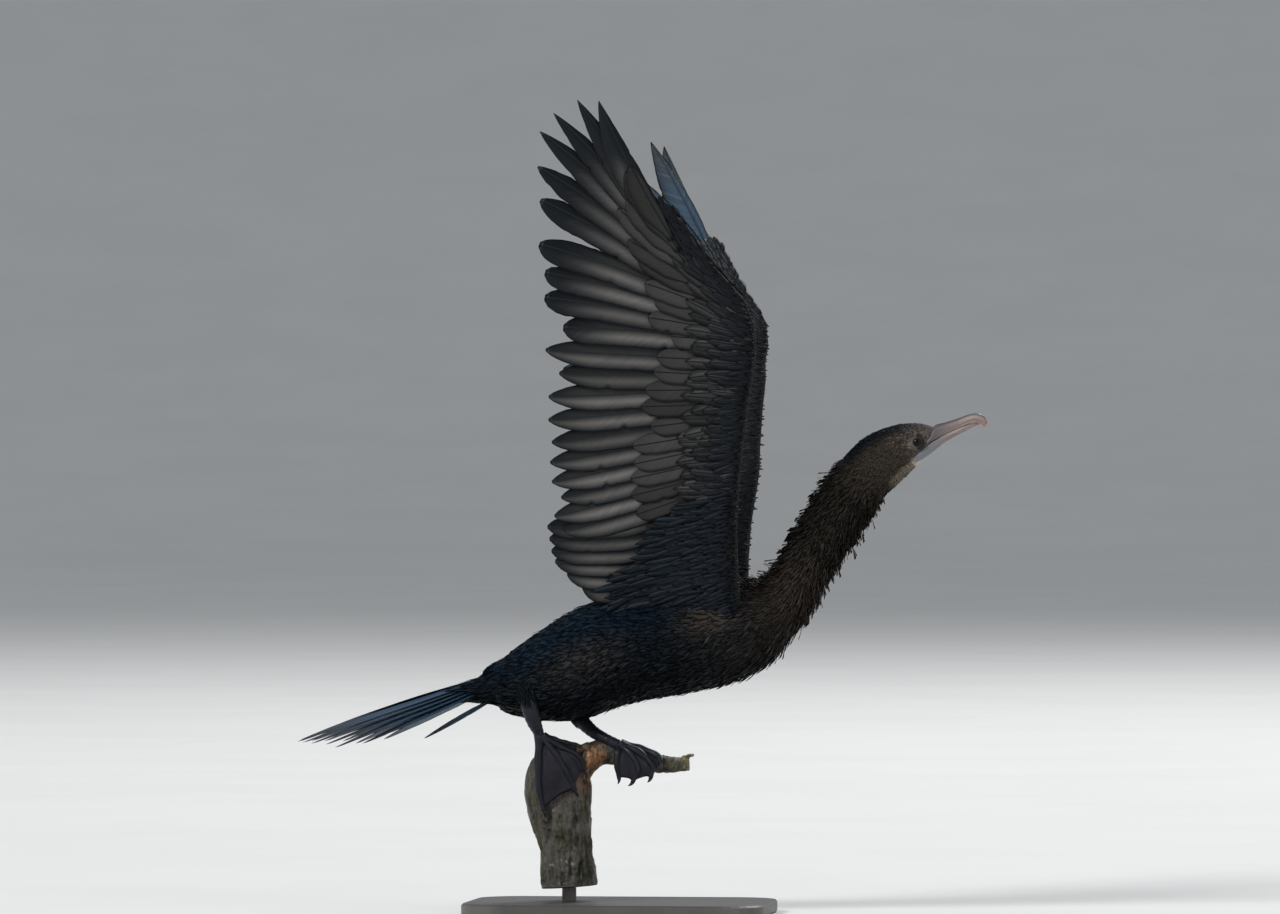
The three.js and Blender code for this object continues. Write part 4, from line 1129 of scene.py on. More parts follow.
def quill_row(start, end, lengths, angles, **extra):
    """Feathers with their roots evenly along a line on the sheet."""
    count = len(lengths)
    share = np.linspace(0, 1, count)
    row = {
        "a": mix(start[0], end[0], share), "b": mix(start[1], end[1], share),
        "angle": np.array(angles, float), "length": np.array(lengths, float),
        "lift": 0, "rise": 0, "bow": 0, "tilt": SHINGLE, "pointed": 0, **extra,
    }
    return {key: np.broadcast_to(value, count).astype(float) for key, value in row.items()}


def join_rows(*rows):
    return {key: np.concatenate([row[key] for row in rows]) for key in rows[0]}


def held_short(row, limit=238, least=7):
    """The same feathers, none of which reaches past a place on the span."""
    room = (limit - row["a"]) / np.maximum(np.cos(np.radians(row["angle"])), 0.05)
    return {**row, "length": np.minimum(row["length"], np.maximum(room, least))}


def flight_rows(side):
    """The long feathers of one wing, from the wrist outward and inward, and next to the body."""
    share = np.linspace(0, 1, 10)
    angle = np.array(PRIMARY_ANGLE)
    angle[8] -= NINTH_CLOSED[side]
    angle[9] -= 0.5 * NINTH_CLOSED[side]
    primaries = quill_row(WRIST, HAND_TIP, PRIMARY_LENGTH, angle, bow=PRIMARY_BOW,
                          lift=PRIMARY_STACK * share**2, inner=mix(10.4, 11.8, share),
                          outer=mix(7.6, 4.4, share), pointed=smooth(share, 0.3, 0.8))
    secondaries = quill_row(SECOND_ROOT, ELBOW, SECONDARY_LENGTH, SECONDARY_ANGLE, bow=-1.5, inner=9.8,
                            outer=7.8, pointed=0.4)
    tertials = quill_row(*TERTIAL_ROOTS, TERTIAL_LENGTH, TERTIAL_ANGLE, bow=-2, lift=-3, inner=8.4,
                         outer=7.6, pointed=0.25)
    return primaries, secondaries, tertials


def greater_coverts(face):
    """The longest coverts on one face of the wing, over the roots of the flight feathers."""
    pick = np.random.default_rng(12)
    rows = []
    for flight in flight_rows(RIGHT)[:2]:
        reach = mix(0.36, 0.5, np.linspace(0, 1, 10)) * pick.uniform(0.9, 1.12, 10)
        rows.append({
            **flight, "length": flight["length"] * reach,
            "angle": flight["angle"] + pick.normal(0, 2.2, 10), "tilt": flight["tilt"] * 0.6,
            "lift": flight["lift"] * (1 if face > 0 else 0.4) + face * 2.6,
            "inner": flight["inner"] * 0.78, "outer": flight["outer"] * 0.8, "bow": flight["bow"] * 0.3,
            "pointed": flight["pointed"] * 0.3 + 0.2,
        })
    return join_rows(*rows)


def tier_row(count, ends, back, angles, length, width, lift, tier, seed):
    """One tier of small coverts that follows the leading edge at a distance behind it."""
    pick = np.random.default_rng(seed)
    a = np.linspace(*ends, count) + pick.normal(0, 0.6, count)
    return {
        "a": a, "b": leading_edge(a) - back + pick.normal(0, 0.8, count),
        "angle": np.interp(a, *angles) + pick.normal(0, 6, count),
        "length": length * pick.uniform(0.85, 1.15, count),
        "lift": lift + pick.uniform(0, 0.5, count), "rise": pick.uniform(0, 0.5, count),
        "bow": np.zeros(count), "tilt": np.full(count, 0.1), "pointed": pick.uniform(0.25, 0.7, count),
        "inner": width * pick.uniform(0.85, 1.15, count), "outer": width * pick.uniform(0.85, 1.15, count),
        "tier": np.full(count, float(tier)),
    }


COVERT_ANGLES = ([-20, 40, 90, 150, 165, 190, 215, 242], [92, 98, 100, 88, 74, 52, 38, 30])
SHOULDER_ANGLES = ([-24, 20, 60], [114, 106, 100])
# Tiers: how many, from and to along the span, behind the leading edge, length, half width, lift, tier
COVERT_TIERS = [
    (48, 28, 236, 13, 28, 4.2, 0.7, 1),
    (62, 20, 238, 9, 22, 3.2, 0.9, 2),
    (84, 10, 240, 6, 17, 2.5, 1.1, 3),
    (110, 0, 240, 3.6, 13, 1.9, 1.2, 4),
    (140, -6, 241, 1.8, 9.5, 1.4, 1.2, 4),
    (190, -10, 241, 0.5, 7, 1.05, 1.1, 5),
]
# Shoulder tiers: behind the leading edge, length, half width
SHOULDER_TIERS = [
    (60, 28, 2.4), (54, 27, 2.3), (48, 26, 2.2), (42, 26, 2.1), (37, 25, 2), (32, 24, 1.9), (27, 23, 1.8),
    (22, 22, 1.7), (17, 20, 1.6), (12, 18, 1.5), (8, 15, 1.4), (4, 12, 1.2),
]
# Where the shoulder tiers start and end along the span, by their distance behind the leading edge
SHOULDER_START = -23
SHOULDER_END = ([0, 20, 30, 45, 60], [66, 60, 48, 26, 8])
SHOULDER_GAP = 2
SHOULDER_TIER = 6


def small_coverts(seed):
    """All tiers of small coverts on one face of the wing."""
    rows = []
    for number, (count, low, high, back, length, width, lift, tier) in enumerate(COVERT_TIERS):
        rows.append(tier_row(count, (low, high), back, COVERT_ANGLES, length, width, lift, tier,
                             seed + number))
    for number, (back, length, width) in enumerate(SHOULDER_TIERS):
        end = np.interp(back, *SHOULDER_END)
        count = int((end - SHOULDER_START) / SHOULDER_GAP)
        rows.append(tier_row(count, (SHOULDER_START, end), back, SHOULDER_ANGLES, length, width,
                             1.0 + 0.08 * number, SHOULDER_TIER, seed + 20 + number))
    return join_rows(*rows)


def bill_half(name, stations, upper):
    """Half of the bill: sections from the mouth edge over a grooved side to the ridge or keel."""
    turn = np.linspace(0, 1, 14)
    groove = 0.1 * hump(turn, 0.66, 0.08) if upper else 0.05 * hump(turn, 0.5, 0.1)
    out = np.cos(turn * math.pi / 2) ** (0.75 if upper else 0.6) * (1 - groove)
    up = np.sin(turn * math.pi / 2) ** (1.15 if upper else 0.9)
    rings = []
    for mouth_x, mouth_z, ridge_x, ridge_z, wide in spline(stations, 60):
        near = np.stack([mix(mouth_x, ridge_x, up), -wide * out, mix(mouth_z, ridge_z, up)], -1)
        rings.append(np.vstack([near, near[::-1] * [1, -1, 1]]))
    mesh = skin_rings(name, np.array(rings))
    both_sides = np.concatenate([turn, turn[::-1]])
    count = len(mesh.vertices) // len(both_sides)
    along = np.repeat(np.linspace(0, 1, count), len(both_sides))
    height = np.tile(both_sides, count) * (1 if upper else 0.7)
    set_attribute(mesh, "zone", np.stack([along, height, np.full(len(along), 0.0 if upper else 1.0)], -1))
    cap_ends(mesh)
    return mesh


def toe_tube(knots):
    """A toe with swollen joints."""
    line = spline(knots, 44)
    share = np.linspace(0, 1, 44)
    swell = 1 + 0.13 * np.cos(share * FULL_TURN * 3) * (1 - share * 0.5)
    return ring_tube(line[:, :3], line[:, 3] * swell, 16)


def claw_tube(knots, side):
    """A claw that curves on from its toe's end to a sharp point, round the wood under it."""
    end, before = np.array(knots[-1][:3]), np.array(knots[-2][:3])
    along = unit(end - before)
    toward = np.array(CLAW_TOWARD[side])
    inward = unit(toward - along * (toward @ along))
    share = np.linspace(0, 1, 18)[:, None]
    ahead = CLAW_LENGTH[side] * share * (1 - 0.1 * share) - CLAW_SEAT
    line = end + along * ahead + inward * CLAW_CURL * share**2
    radius = knots[-1][3] * (1.02 * (1 - share[:, 0]) ** 0.7 + 0.05)
    return ring_tube(line, radius, 12, 0.8)


def web_sheet(first, second, pick):
    """Skin stretched between two toes, thin, ribbed and slack in the middle."""
    rows, columns, steps = 26, 16, 60
    across = np.linspace(0, 1, columns)
    at = np.linspace(0.03, 0.97 * (1 - 0.05 * np.sin(math.pi * across)), rows)
    near, far = (
        np.stack([np.interp(at, np.linspace(0, 1, steps), toe[:, k]) for k in range(3)], -1)
        for toe in (spline(first, steps), spline(second, steps))
    )
    grid = mix(near, far, across[:, None])
    normal = np.cross(np.gradient(grid, axis=0), np.gradient(grid, axis=1))
    normal /= np.linalg.norm(normal, axis=2, keepdims=True) + 1e-9
    j = across[None, :, None]
    i = np.linspace(0, 1, rows)[:, None, None]
    slack = 0.35 * np.sin(j * math.pi * 4 + pick.uniform(0, 3)) * i * np.sin(math.pi * j)
    grid = grid + normal * slack
    return grid + normal * WEB_HALF, grid - normal * WEB_HALF


def noise_at(points, scale, octaves, seed):
    """Fractal noise at each point, -1 to 1."""
    shift = Vector((seed, seed * 1.7, 0))
    return np.array([noise.fractal(Vector(point) * scale + shift, 0.8, 2.1, octaves) for point in points])


class CormorantSizes(bpy.types.PropertyGroup):
    """Sizes and colours that a user may change"""

    neck_ruffle: FloatProperty(
        name="Neck ruffle", description="How far the neck's wet feathers stand out, in millimetres",
        default=4.2, min=0.5, max=12)
    feather_gap: FloatProperty(
        name="Feather gap", description="Distance between body feathers, in millimetres", default=1.45,
        min=1.2, max=8)
    neck_gap: FloatProperty(
        name="Neck gap", description="Distance between neck feathers, in millimetres", default=1.15,
        min=0.8, max=4)
    vane_rows: IntProperty(
        name="Vane rows", description="Rows of faces along a flight feather", default=34, min=8, max=80)
    black: FloatVectorProperty(
        name="Black", description="Colour of the body feathers", subtype="COLOR",
        default=(0.006, 0.006, 0.0066))
    # Blue: a painted sheen, the sky's reflection in the glossy black feathers laid into their colour.
    blue: FloatVectorProperty(
        name="Blue", description="Gloss colour of the back", subtype="COLOR",
        default=(0.005, 0.02, 0.041))
    brown: FloatVectorProperty(
        name="Brown", description="Colour of the neck feathers", subtype="COLOR",
        default=(0.115, 0.092, 0.072))
    chin: FloatVectorProperty(
        name="Chin", description="Colour of the chin", subtype="COLOR", default=(0.62, 0.54, 0.4))
    under: FloatVectorProperty(
        name="Underwing", description="Colour of the flight feathers beneath", subtype="COLOR",
        default=(0.115, 0.108, 0.1))
    # Partly a painted shade of the gaps between the flight feathers.
    under_edge: FloatVectorProperty(
        name="Underwing edge", description="Edge colour of the flight feathers beneath", subtype="COLOR",
        default=(0.01, 0.0095, 0.0095))
    covert: FloatVectorProperty(
        name="Covert", description="Colour of the upper wing coverts", subtype="COLOR",
        default=(0.04, 0.042, 0.044))
    horn: FloatVectorProperty(
        name="Horn", description="Colour of the bill", subtype="COLOR", default=(0.33, 0.265, 0.245))
    horn_dark: FloatVectorProperty(
        name="Horn streaks", description="Colour of the bill's streaks", subtype="COLOR",
        default=(0.11, 0.078, 0.075))
    foot: FloatVectorProperty(
        name="Foot", description="Colour of the toes", subtype="COLOR", default=(0.006, 0.006, 0.008))
    bark: FloatVectorProperty(
        name="Bark", description="Colour of the bark", subtype="COLOR", default=(0.075, 0.064, 0.04))
    paint: FloatVectorProperty(
        name="Paint", description="Colour of the stand", subtype="COLOR", default=(0.028, 0.028, 0.029))


class CORMORANT_OT_skin(bpy.types.Operator):
    """Body, neck and head as one skin under the feathers"""

    bl_idname = "cormorant.skin"
    bl_label = "Skin"
    bl_options = {"REGISTER", "UNDO"}

    def execute(self, context):
        turn = np.linspace(0, FULL_TURN, 72, endpoint=False)
        turn = np.where(turn > math.pi, turn - FULL_TURN, turn)
        at, turn = np.meshgrid(np.linspace(0.5, BODY_LENGTH, 300), turn, indexing="ij")
        mesh = skin_rings("skin", body_point(at, turn, 0 * at))
        mark = markings(at, turn)
        set_attribute(mesh, "mark", np.concatenate([mark[:1], mark, mark[-1:]]).reshape(-1, 3))
        cap_ends(mesh)
        nodes = ("head", "neck_upper", "neck_lower", "torso")
        add_piece("skin", mesh, material_for("skin"), nodes)
        return {"FINISHED"}


class CORMORANT_OT_coat(bpy.types.Operator):
    """Feathers of the body, neck and head"""

    bl_idname = "cormorant.coat"
    bl_label = "Coat"
    bl_options = {"REGISTER", "UNDO"}

    def execute(self, context):
        sizes = context.scene.cormorant
        gap, neck_gap = sizes.feather_gap, sizes.neck_gap
        for name, seed, turns in BODY_COATS:
            mesh = body_vanes(name, seed, (RUMP_AT - 12, NECK_AT), gap * 1.25, gap, body_length,
                              body_width, body_lift, turns=turns)
            add_piece(name, mesh, material_for("coat"))
        for name, seed, stretch in NECK_COATS:
            mesh = body_vanes(name, seed, stretch, neck_gap * 1.15, neck_gap, neck_length, neck_width,
                              neck_lift(sizes.neck_ruffle))
            add_piece(name, mesh, material_for("neck"))
        mesh = body_vanes("coat_head", 6, (HEAD_AT - 3, BODY_LENGTH - 1), *HEAD_GAPS, head_length,
                          head_width, head_lift, rows=4)
        add_piece("coat_head", mesh, material_for("neck"))
        return {"FINISHED"}


class CORMORANT_OT_wings(bpy.types.Operator):
    """Both wings: arm, flight feathers and the tiers of coverts on each face"""

    bl_idname = "cormorant.wings"
    bl_label = "Wings"
    bl_options = {"REGISTER", "UNDO"}

    def execute(self, context):
        for side, label in SIDES.items():
            spot = wing_sheet(side)
            self.arm(spot, label)
            self.flights(spot, side, label, context.scene.cormorant.vane_rows)
            for face, word in ((1, "beneath"), (-1, "above")):
                self.coverts(spot, side, face, word + "_" + label)
        return {"FINISHED"}

    def arm(self, spot, label):
        a = np.linspace(-22, 240, 120)[:, None]
        back = np.concatenate([np.linspace(0, 1, 30), np.linspace(1, 0, 30)])
        face = np.repeat([1.0, -1.0], 30)
        b = leading_edge(a) - back * np.interp(a, ARM_AT, ARM_SKIN_CHORD)
        a = a + 0 * b
        mesh = skin_rings("wing_arm_" + label, spot(a, b, face * (arm_height(a, b) * 0.92 + 0.05)))
        cap_ends(mesh)
        set_attribute(mesh, "mark", np.tile([0, 0, 0.3], (len(mesh.vertices), 1)))
        nodes = tuple("wing_" + label + "_" + part for part in ("inner", "forearm", "hand"))
        add_piece("wing_arm_" + label, mesh, material_for("skin"), nodes)

    def flights(self, spot, side, label, rows):
        row = join_rows(*flight_rows(side))
        inner = np.full(len(TERTIAL_LENGTH), 0.3)
        dark = np.concatenate([np.linspace(0.35, 1, 10), np.full(10, 0.12), inner])
        mesh = sheet_vanes("wing_flight_" + label, spot, row, (rows, 13), 31 + side,
                           dark[:, None] * [1, 0, 0], cells=FLIGHT_CELL)
        add_piece(mesh.name, mesh, material_for("flight"))

    def coverts(self, spot, side, face, place):
        greater, small = greater_coverts(face), small_coverts(160 + 60 * face + side)
        if face < 0:
            greater, small = held_short(greater), held_short(small)
        above = 0 if face > 0 else 1
        mesh = sheet_vanes("greater_coverts_" + place, spot, greater, (16, 7), 41 + face + 5 * side,
                           (0, 0, 0) if above else (0.3, 0.3, 0.0), above)
        add_piece(mesh.name, mesh, material_for("covert"))

        def drape(a, b, h):
            return face * (np.maximum(arm_height(a, b), 3) + h * 0.9)

        tier = small["tier"]
        pale = np.random.default_rng(90 + side).uniform(0, 1, len(tier)) > 0.95
        grey = np.interp(tier, [1, 2, 3, 6], [0.26, 0.13, 0.06, 0.03])
        grey = grey + 0.4 * pale * (tier >= 3) * (tier < SHOULDER_TIER)
        # Painted sheen: the shoulder's coverts and the inner tiers get a blue share.
        blue = np.where(tier == SHOULDER_TIER, 0.3, np.where(tier >= 3, 0.14, 0.04))
        mesh = sheet_vanes("small_coverts_" + place, spot, small, (7, 3), 51 + face + 5 * side,
                           np.stack([grey, grey * 0.4, blue], -1), above, drape, thick=COVERT_VANE)
        add_piece(mesh.name, mesh, material_for("covert"))


class CORMORANT_OT_tail(bpy.types.Operator):
    """Twelve stiff tail feathers and one loose feather"""

    bl_idname = "cormorant.tail"
    bl_label = "Tail"
    bl_options = {"REGISTER", "UNDO"}

    def execute(self, context):
        slope = math.radians(TAIL_SLOPE)
        root = np.array([TAIL_ROOT[0], 0, TAIL_ROOT[1]])
        back = np.array([-math.cos(slope), 0, -math.sin(slope)])
        up = np.array([-math.sin(slope), 0, math.cos(slope)])

        def spot(a, b, h):
            lifted = h - TAIL_DROOP * (a / TAIL_LENGTH[0]) ** 2
            left = np.array([0, 1, 0])
            return root + a[..., None] * back + b[..., None] * left + lifted[..., None] * up

        rows = []
        for side in (RIGHT, LEFT):
            i = np.arange(6.0)
            middle = (0.8 if side == RIGHT else 0) * (i == 0)
            rows.append(quill_row((4, side * 1.2), (4, side * 6.7), np.array(TAIL_LENGTH) - 4.0,
                                  -side * (2.6 + i * 4.4), lift=2.8 - i * 1.5 - middle, rise=TAIL_RISE,
                                  tilt=side * 0.22, inner=6.3, outer=6.3, pointed=0.75))
        rows.append(quill_row((0, -3), (0, -3), [LOOSE_LENGTH], [LOOSE_ANGLE], lift=-11, rise=-12,
                              inner=2.3, outer=2.3, pointed=0.8, tilt=0.7))
        grid = (context.scene.cormorant.vane_rows, 11)
        mesh = sheet_vanes("tail_feathers", spot, join_rows(*rows), grid, 71, (0, 0, 0), face=1,
                           cells=TAIL_CELL)
        add_piece("tail_feathers", mesh, material_for("tail"), ("tail",))
        return {"FINISHED"}


class CORMORANT_OT_bill(bpy.types.Operator):
    """Both halves of the hooked bill"""

    bl_idname = "cormorant.bill"
    bl_label = "Bill"
    bl_options = {"REGISTER", "UNDO"}

    def execute(self, context):
        for name, stations in (("bill_upper", UPPER_BILL), ("bill_lower", LOWER_BILL)):
            mesh = bill_half(name + "_horn", stations, name == "bill_upper")
            add_piece(name + "_horn", mesh, material_for("bill"), (name,))
        return {"FINISHED"}


class CORMORANT_OT_eyes(bpy.types.Operator):
    """Dark eyes, each in a ring of bare skin"""

    bl_idname = "cormorant.eyes"
    bl_label = "Eyes"
    bl_options = {"REGISTER", "UNDO"}

    def execute(self, context):
        x, y, z = EYE
        for side, label in SIDES.items():
            polar = np.linspace(0.02, math.pi - 0.02, 26)[:, None]
            turn = np.linspace(0, FULL_TURN, 40, endpoint=False)[None, :]
            ball = np.stack([np.sin(polar) * np.cos(turn), side * np.cos(polar) + 0 * turn,
                             np.sin(polar) * np.sin(turn)], -1)
            mesh = skin_rings("eyeball_" + label, np.array([x, side * (y + 0.5), z]) + EYE_RADIUS * ball)
            cap_ends(mesh)
            away = np.concatenate([polar[:1], polar, polar[-1:]])
            set_attribute(mesh, "iris", np.repeat(away[:, 0], 40))
            add_piece("eyeball_" + label, mesh, material_for("eye"), ("eye_" + label,))
            rings = [self.lid(side, *ring) for ring in EYE_RINGS]
            points = np.vstack([grid.reshape(-1, 3) for grid, _, _ in rings])
            each = len(points) // len(rings)
            quads = np.vstack([quad + number * each for number, (_, quad, _) in enumerate(rings)])
            mesh = build_mesh("eyelid_" + label, points, quads[:, ::-1] if side == RIGHT else quads)
            set_attribute(mesh, "bead", np.concatenate([bead.ravel() for _, _, bead in rings]))
            add_piece("eyelid_" + label, mesh, material_for("bare"))
        return {"FINISHED"}

    def lid(self, side, wide, out, thick, beads):
        """A beaded ring round the eye, drawn in a little at its front and back."""
        x, y, z = EYE
        steps, round_steps = 160, 10
        ring = np.linspace(0, FULL_TURN, steps, endpoint=False)
        bead = 0.5 + 0.5 * np.sin(ring * beads)
        size = (thick * (0.82 + 0.4 * bead))[:, None]
        reach = wide * (1 - 0.08 * np.abs(np.cos(ring)))
        outward = np.stack([np.cos(ring), ring * 0, np.sin(ring)], -1)
        line = np.array([x, side * (y + out), z]) + reach[:, None] * outward
        line[:, 1] -= side * (0.13 * (line[:, 0] - x) + 0.03 * np.abs(line[:, 2] - z))
        roll = np.linspace(0, FULL_TURN, round_steps, endpoint=False)
        grid = (line[:, None] + (size * np.cos(roll))[..., None] * outward[:, None]
                + (size * np.sin(roll))[..., None] * np.array([0, side, 0]))
        index = np.arange(steps * round_steps).reshape(steps, round_steps)
        beside = np.roll(index, -1, 1)
        quads = np.stack([index, beside, np.roll(beside, -1, 0), np.roll(index, -1, 0)], -1).reshape(-1, 4)
        pale = bead * smooth(np.cos(ring), 0.5, -0.3)
        return grid, quads, np.repeat(pale[:, None], round_steps, 1)


class CORMORANT_OT_feet(bpy.types.Operator):
    """Legs, webbed feet and claws"""

    bl_idname = "cormorant.feet"
    bl_label = "Feet"
    bl_options = {"REGISTER", "UNDO"}

    def execute(self, context):
        pick = np.random.default_rng(9)
        for side, label in SIDES.items():
            toes = TOES[side]
            self.bare_skin("leg_skin_" + label, [self.leg_tube(side)], ("leg_" + label,))
            mesh = thigh_vanes("coat_thigh_" + label, LEGS[side], 21 + side)
            add_piece("coat_thigh_" + label, mesh, material_for("coat"))
            self.bare_skin("toes_" + label, [toe_tube(toe) for toe in toes], ("foot_" + label,))
            top, under = np.stack([web_sheet(one, two, pick) for one, two in zip(toes, toes[1:])], 1)
            place = np.array([[0.12 + 0.16 * i, 0.5] for i in range(len(top))])
            mesh = join_grids("webs_" + label, top, under, {}, place, cells=WEB_CELL)
            set_attribute(mesh, "web", np.ones(len(mesh.vertices)))
            add_piece("webs_" + label, mesh, material_for("foot"))
            mesh = joined_tubes("claws_" + label, [claw_tube(toe, side) for toe in toes])
            nodes = tuple("claw_" + label + "_" + str(i) for i in (1, 2, 3, 4))
            add_piece("claws_" + label, mesh, material_for("claw"), nodes)
        return {"FINISHED"}

    def leg_tube(self, side):
        line = spline(LEGS[side], 70)
        share = np.linspace(0, 1, 70)
        scutes = 1 + 0.02 * np.sign(np.sin(share * 90)) * smooth(share, 0.3, 0.4)
        return ring_tube(line[:, :3], line[:, 3] * scutes, 24, 0.86)

    def bare_skin(self, name, tubes, nodes):
        mesh = joined_tubes(name, tubes)
        set_attribute(mesh, "web", np.zeros(len(mesh.vertices)))
        add_piece(name, mesh, material_for("foot"), nodes)


class CORMORANT_OT_perch(bpy.types.Operator):
    """The broken stem and its side branch, with ridged bark"""

    bl_idname = "cormorant.perch"
    bl_label = "Perch"
    bl_options = {"REGISTER", "UNDO"}

    def execute(self, context):
        mesh = self.rough_wood()
        count = len(mesh.vertices)
        co = np.zeros(count * 3, dtype=np.float32)
        normal = np.zeros(count * 3, dtype=np.float32)
        mesh.vertices.foreach_get("co", co)
        mesh.vertices.foreach_get("normal", normal)
        points, normal = co.reshape(-1, 3) / MM, normal.reshape(-1, 3)
        x, z = points[:, 0], points[:, 2]
        ridges = noise_at(points * np.array([1, 1, 0.22]), *RIDGES)
        lumps = noise_at(points, *LUMPS)
        fine = noise_at(points, *FINE)
        upright = smooth(x, -14, -22)
        cracks = np.clip(-ridges - 0.12, 0, 1)
        trunk = 1.4 * ridges + 1.3 * lumps - 2.2 * cracks
        move = upright * trunk + (1 - upright) * (0.5 * lumps + 0.35 * ridges) + 0.45 * fine
        points = points + normal * (np.clip(move, *BARK_MOVE) * smooth(z, *BARK_CUT))[:, None]
        held = smooth(z, 58, 68) * smooth(x, -56, -50) * smooth(x, -14, -20)
        points[:, 1] = mix(points[:, 1], np.maximum(points[:, 1], WEB_BACK + 0.5 * fine), held)
        mesh.vertices.foreach_set("co", (points * MM).astype(np.float32).ravel())
        rot = self.rotten(x, z, *ROT_TOP) + 0.9 * self.rotten(x, z, *ROT_SIDE)
        rot = np.clip(rot * (1.1 + 1.2 * lumps), 0, 1)
        end = 0.9 * smooth(x, 30, 41)
        # The third share marks the cracks, which the bark's colour darkens as painted shade.
        set_attribute(mesh, "bark", np.stack([rot, end, np.clip(cracks * 3, 0, 1)], -1))
        mesh.update()
        mesh.polygons.foreach_set("use_smooth", np.ones(len(mesh.polygons), dtype=bool))
        add_piece("perch_bark", mesh, material_for("bark"), ("perch_stem",))
        return {"FINISHED"}

    def rough_wood(self):
        """Stem, branch and twig grown into one fine mesh."""
        stem = [(x, 0, z, radius) for x, z, radius in STEM]
        tubes = []
        for knots, sides in ((stem, 40), (BRANCH, 28), (TWIG, 16)):
            line = spline(knots, 60)
            tubes.append(ring_tube(line[:, :3], line[:, 3] * 0.985, sides))
        piece = bpy.data.objects.new("rough_wood", joined_tubes("bark", tubes))
        bpy.context.scene.collection.objects.link(piece)
        remesh = piece.modifiers.new("voxels", "REMESH")
        remesh.mode = "VOXEL"
        remesh.voxel_size = BARK_CELL * MM
        piece.modifiers.new("soften", "SMOOTH").iterations = 6
        mesh = bpy.data.meshes.new_from_object(piece.evaluated_get(bpy.context.evaluated_depsgraph_get()))
        bpy.data.objects.remove(piece)
        return mesh

    def rotten(self, x, z, middle_x, middle_z, wide, high):
        return hump(x, middle_x, wide) * hump(z, middle_z, high)


class CORMORANT_OT_stand(bpy.types.Operator):
    """Paint on the display base and its rod"""

    bl_idname = "cormorant.stand"
    bl_label = "Stand"
    bl_options = {"REGISTER", "UNDO"}

    def execute(self, context):
        for name in ("stand_base", "stand_rod"):
            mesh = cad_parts[name].data
            mesh.materials.clear()
            mesh.materials.append(material_for("paint"))
        return {"FINISHED"}


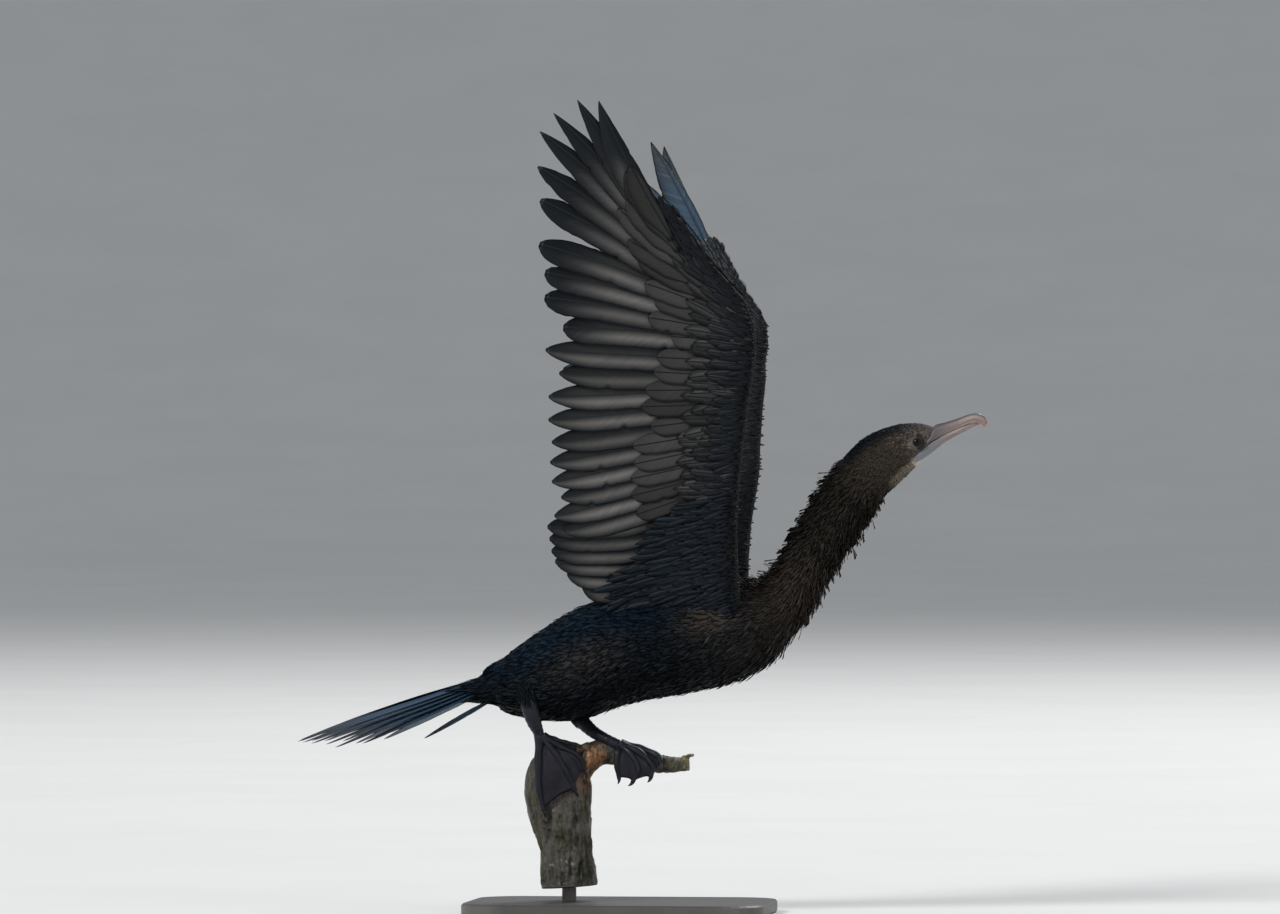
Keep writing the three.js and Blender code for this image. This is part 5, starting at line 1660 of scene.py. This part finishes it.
class CORMORANT_OT_stage(bpy.types.Operator):
    """Floor, lights and camera"""

    bl_idname = "cormorant.stage"
    bl_label = "Stage"
    bl_options = {"REGISTER", "UNDO"}

    def execute(self, context):
        scene = context.scene
        self.floor(scene)
        world = bpy.data.worlds.new("studio")
        world.use_nodes = True
        background = world.node_tree.nodes["Background"]
        background.inputs["Color"].default_value = SKY
        background.inputs["Strength"].default_value = SKY_STRENGTH
        scene.world = world
        for name, place, size, power in LAMPS:
            light = bpy.data.lights.new(name, "AREA")
            light.energy, light.size = power, size
            self.aimed(scene, name, light, Vector(place), Vector(LAMP_TARGET))
        camera = bpy.data.cameras.new("camera")
        camera.sensor_width = SENSOR
        camera.lens = SENSOR * CAMERA_DISTANCE / FRAME_WIDTH
        camera.clip_end = CAMERA_REACH
        azimuth = math.radians(CAMERA_AZIMUTH)
        across, high = FRAME_CENTRE[0] * MM, FRAME_CENTRE[1] * MM
        aim = Vector((across * math.cos(azimuth), across * math.sin(azimuth), high))
        place = aim + CAMERA_DISTANCE * Vector((math.sin(azimuth), -math.cos(azimuth), 0))
        scene.camera = self.aimed(scene, "camera", camera, place, aim)
        scene.view_settings.view_transform = "Standard"
        return {"FINISHED"}

    def floor(self, scene):
        """A pale floor that rises to a horizon far behind."""
        turn = np.linspace(0, FULL_TURN, 96, endpoint=False)
        reach = np.concatenate([[0.001, 4, FLOOR_FLAT], np.linspace(14, FLOOR_END, 24)])[:, None]
        rise = FLOOR_RISE * smooth(reach, FLOOR_FLAT, FLOOR_END + 4) ** 1.2
        rings = np.stack([reach * np.cos(turn), reach * np.sin(turn), rise + 0 * turn], -1)
        index = np.arange(rings.size // 3).reshape(rings.shape[:2])
        after = np.roll(index, -1, 1)
        quads = np.stack([index[:-1], index[1:], after[1:], after[:-1]], -1).reshape(-1, 4)
        mesh = build_mesh("floor", rings.reshape(-1, 3) / MM, quads)
        mesh.materials.append(material_for("floor"))
        floor = bpy.data.objects.new("floor", mesh)
        scene.collection.objects.link(floor)
        floor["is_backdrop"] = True

    def aimed(self, scene, name, data, place, aim):
        """A lamp or camera at its place, turned to look at a point."""
        item = bpy.data.objects.new(name, data)
        item.location = place
        item.rotation_euler = (aim - place).to_track_quat("-Z", "Y").to_euler()
        scene.collection.objects.link(item)
        return item


OPERATORS = (
    CORMORANT_OT_skin, CORMORANT_OT_coat, CORMORANT_OT_wings, CORMORANT_OT_tail, CORMORANT_OT_bill,
    CORMORANT_OT_eyes, CORMORANT_OT_feet, CORMORANT_OT_perch, CORMORANT_OT_stand, CORMORANT_OT_stage,
)


class CORMORANT_PT_panel(bpy.types.Panel):
    bl_label = "Cormorant"
    bl_idname = "CORMORANT_PT_panel"
    bl_space_type = "VIEW_3D"
    bl_region_type = "UI"
    bl_category = "Cormorant"

    def draw(self, context):
        sizes = context.scene.cormorant
        for name in CormorantSizes.__annotations__:
            self.layout.prop(sizes, name)
        for operator in OPERATORS:
            self.layout.operator(operator.bl_idname)


CLASSES = (CormorantSizes, *OPERATORS, CORMORANT_PT_panel)


def register():
    for item in CLASSES:
        bpy.utils.register_class(item)
    bpy.types.Scene.cormorant = PointerProperty(type=CormorantSizes)


def unregister():
    del bpy.types.Scene.cormorant
    for item in reversed(CLASSES):
        bpy.utils.unregister_class(item)


def main():
    register()
    for operator in OPERATORS:
        group, name = operator.bl_idname.split(".")
        getattr(getattr(bpy.ops, group), name)()
    boxes = {"cad": CAD_BOX, "visual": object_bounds()}
    {key: [[float(v) for v in corner] for corner in box] for key, box in boxes.items()}


if __name__ == "__main__":
    main()
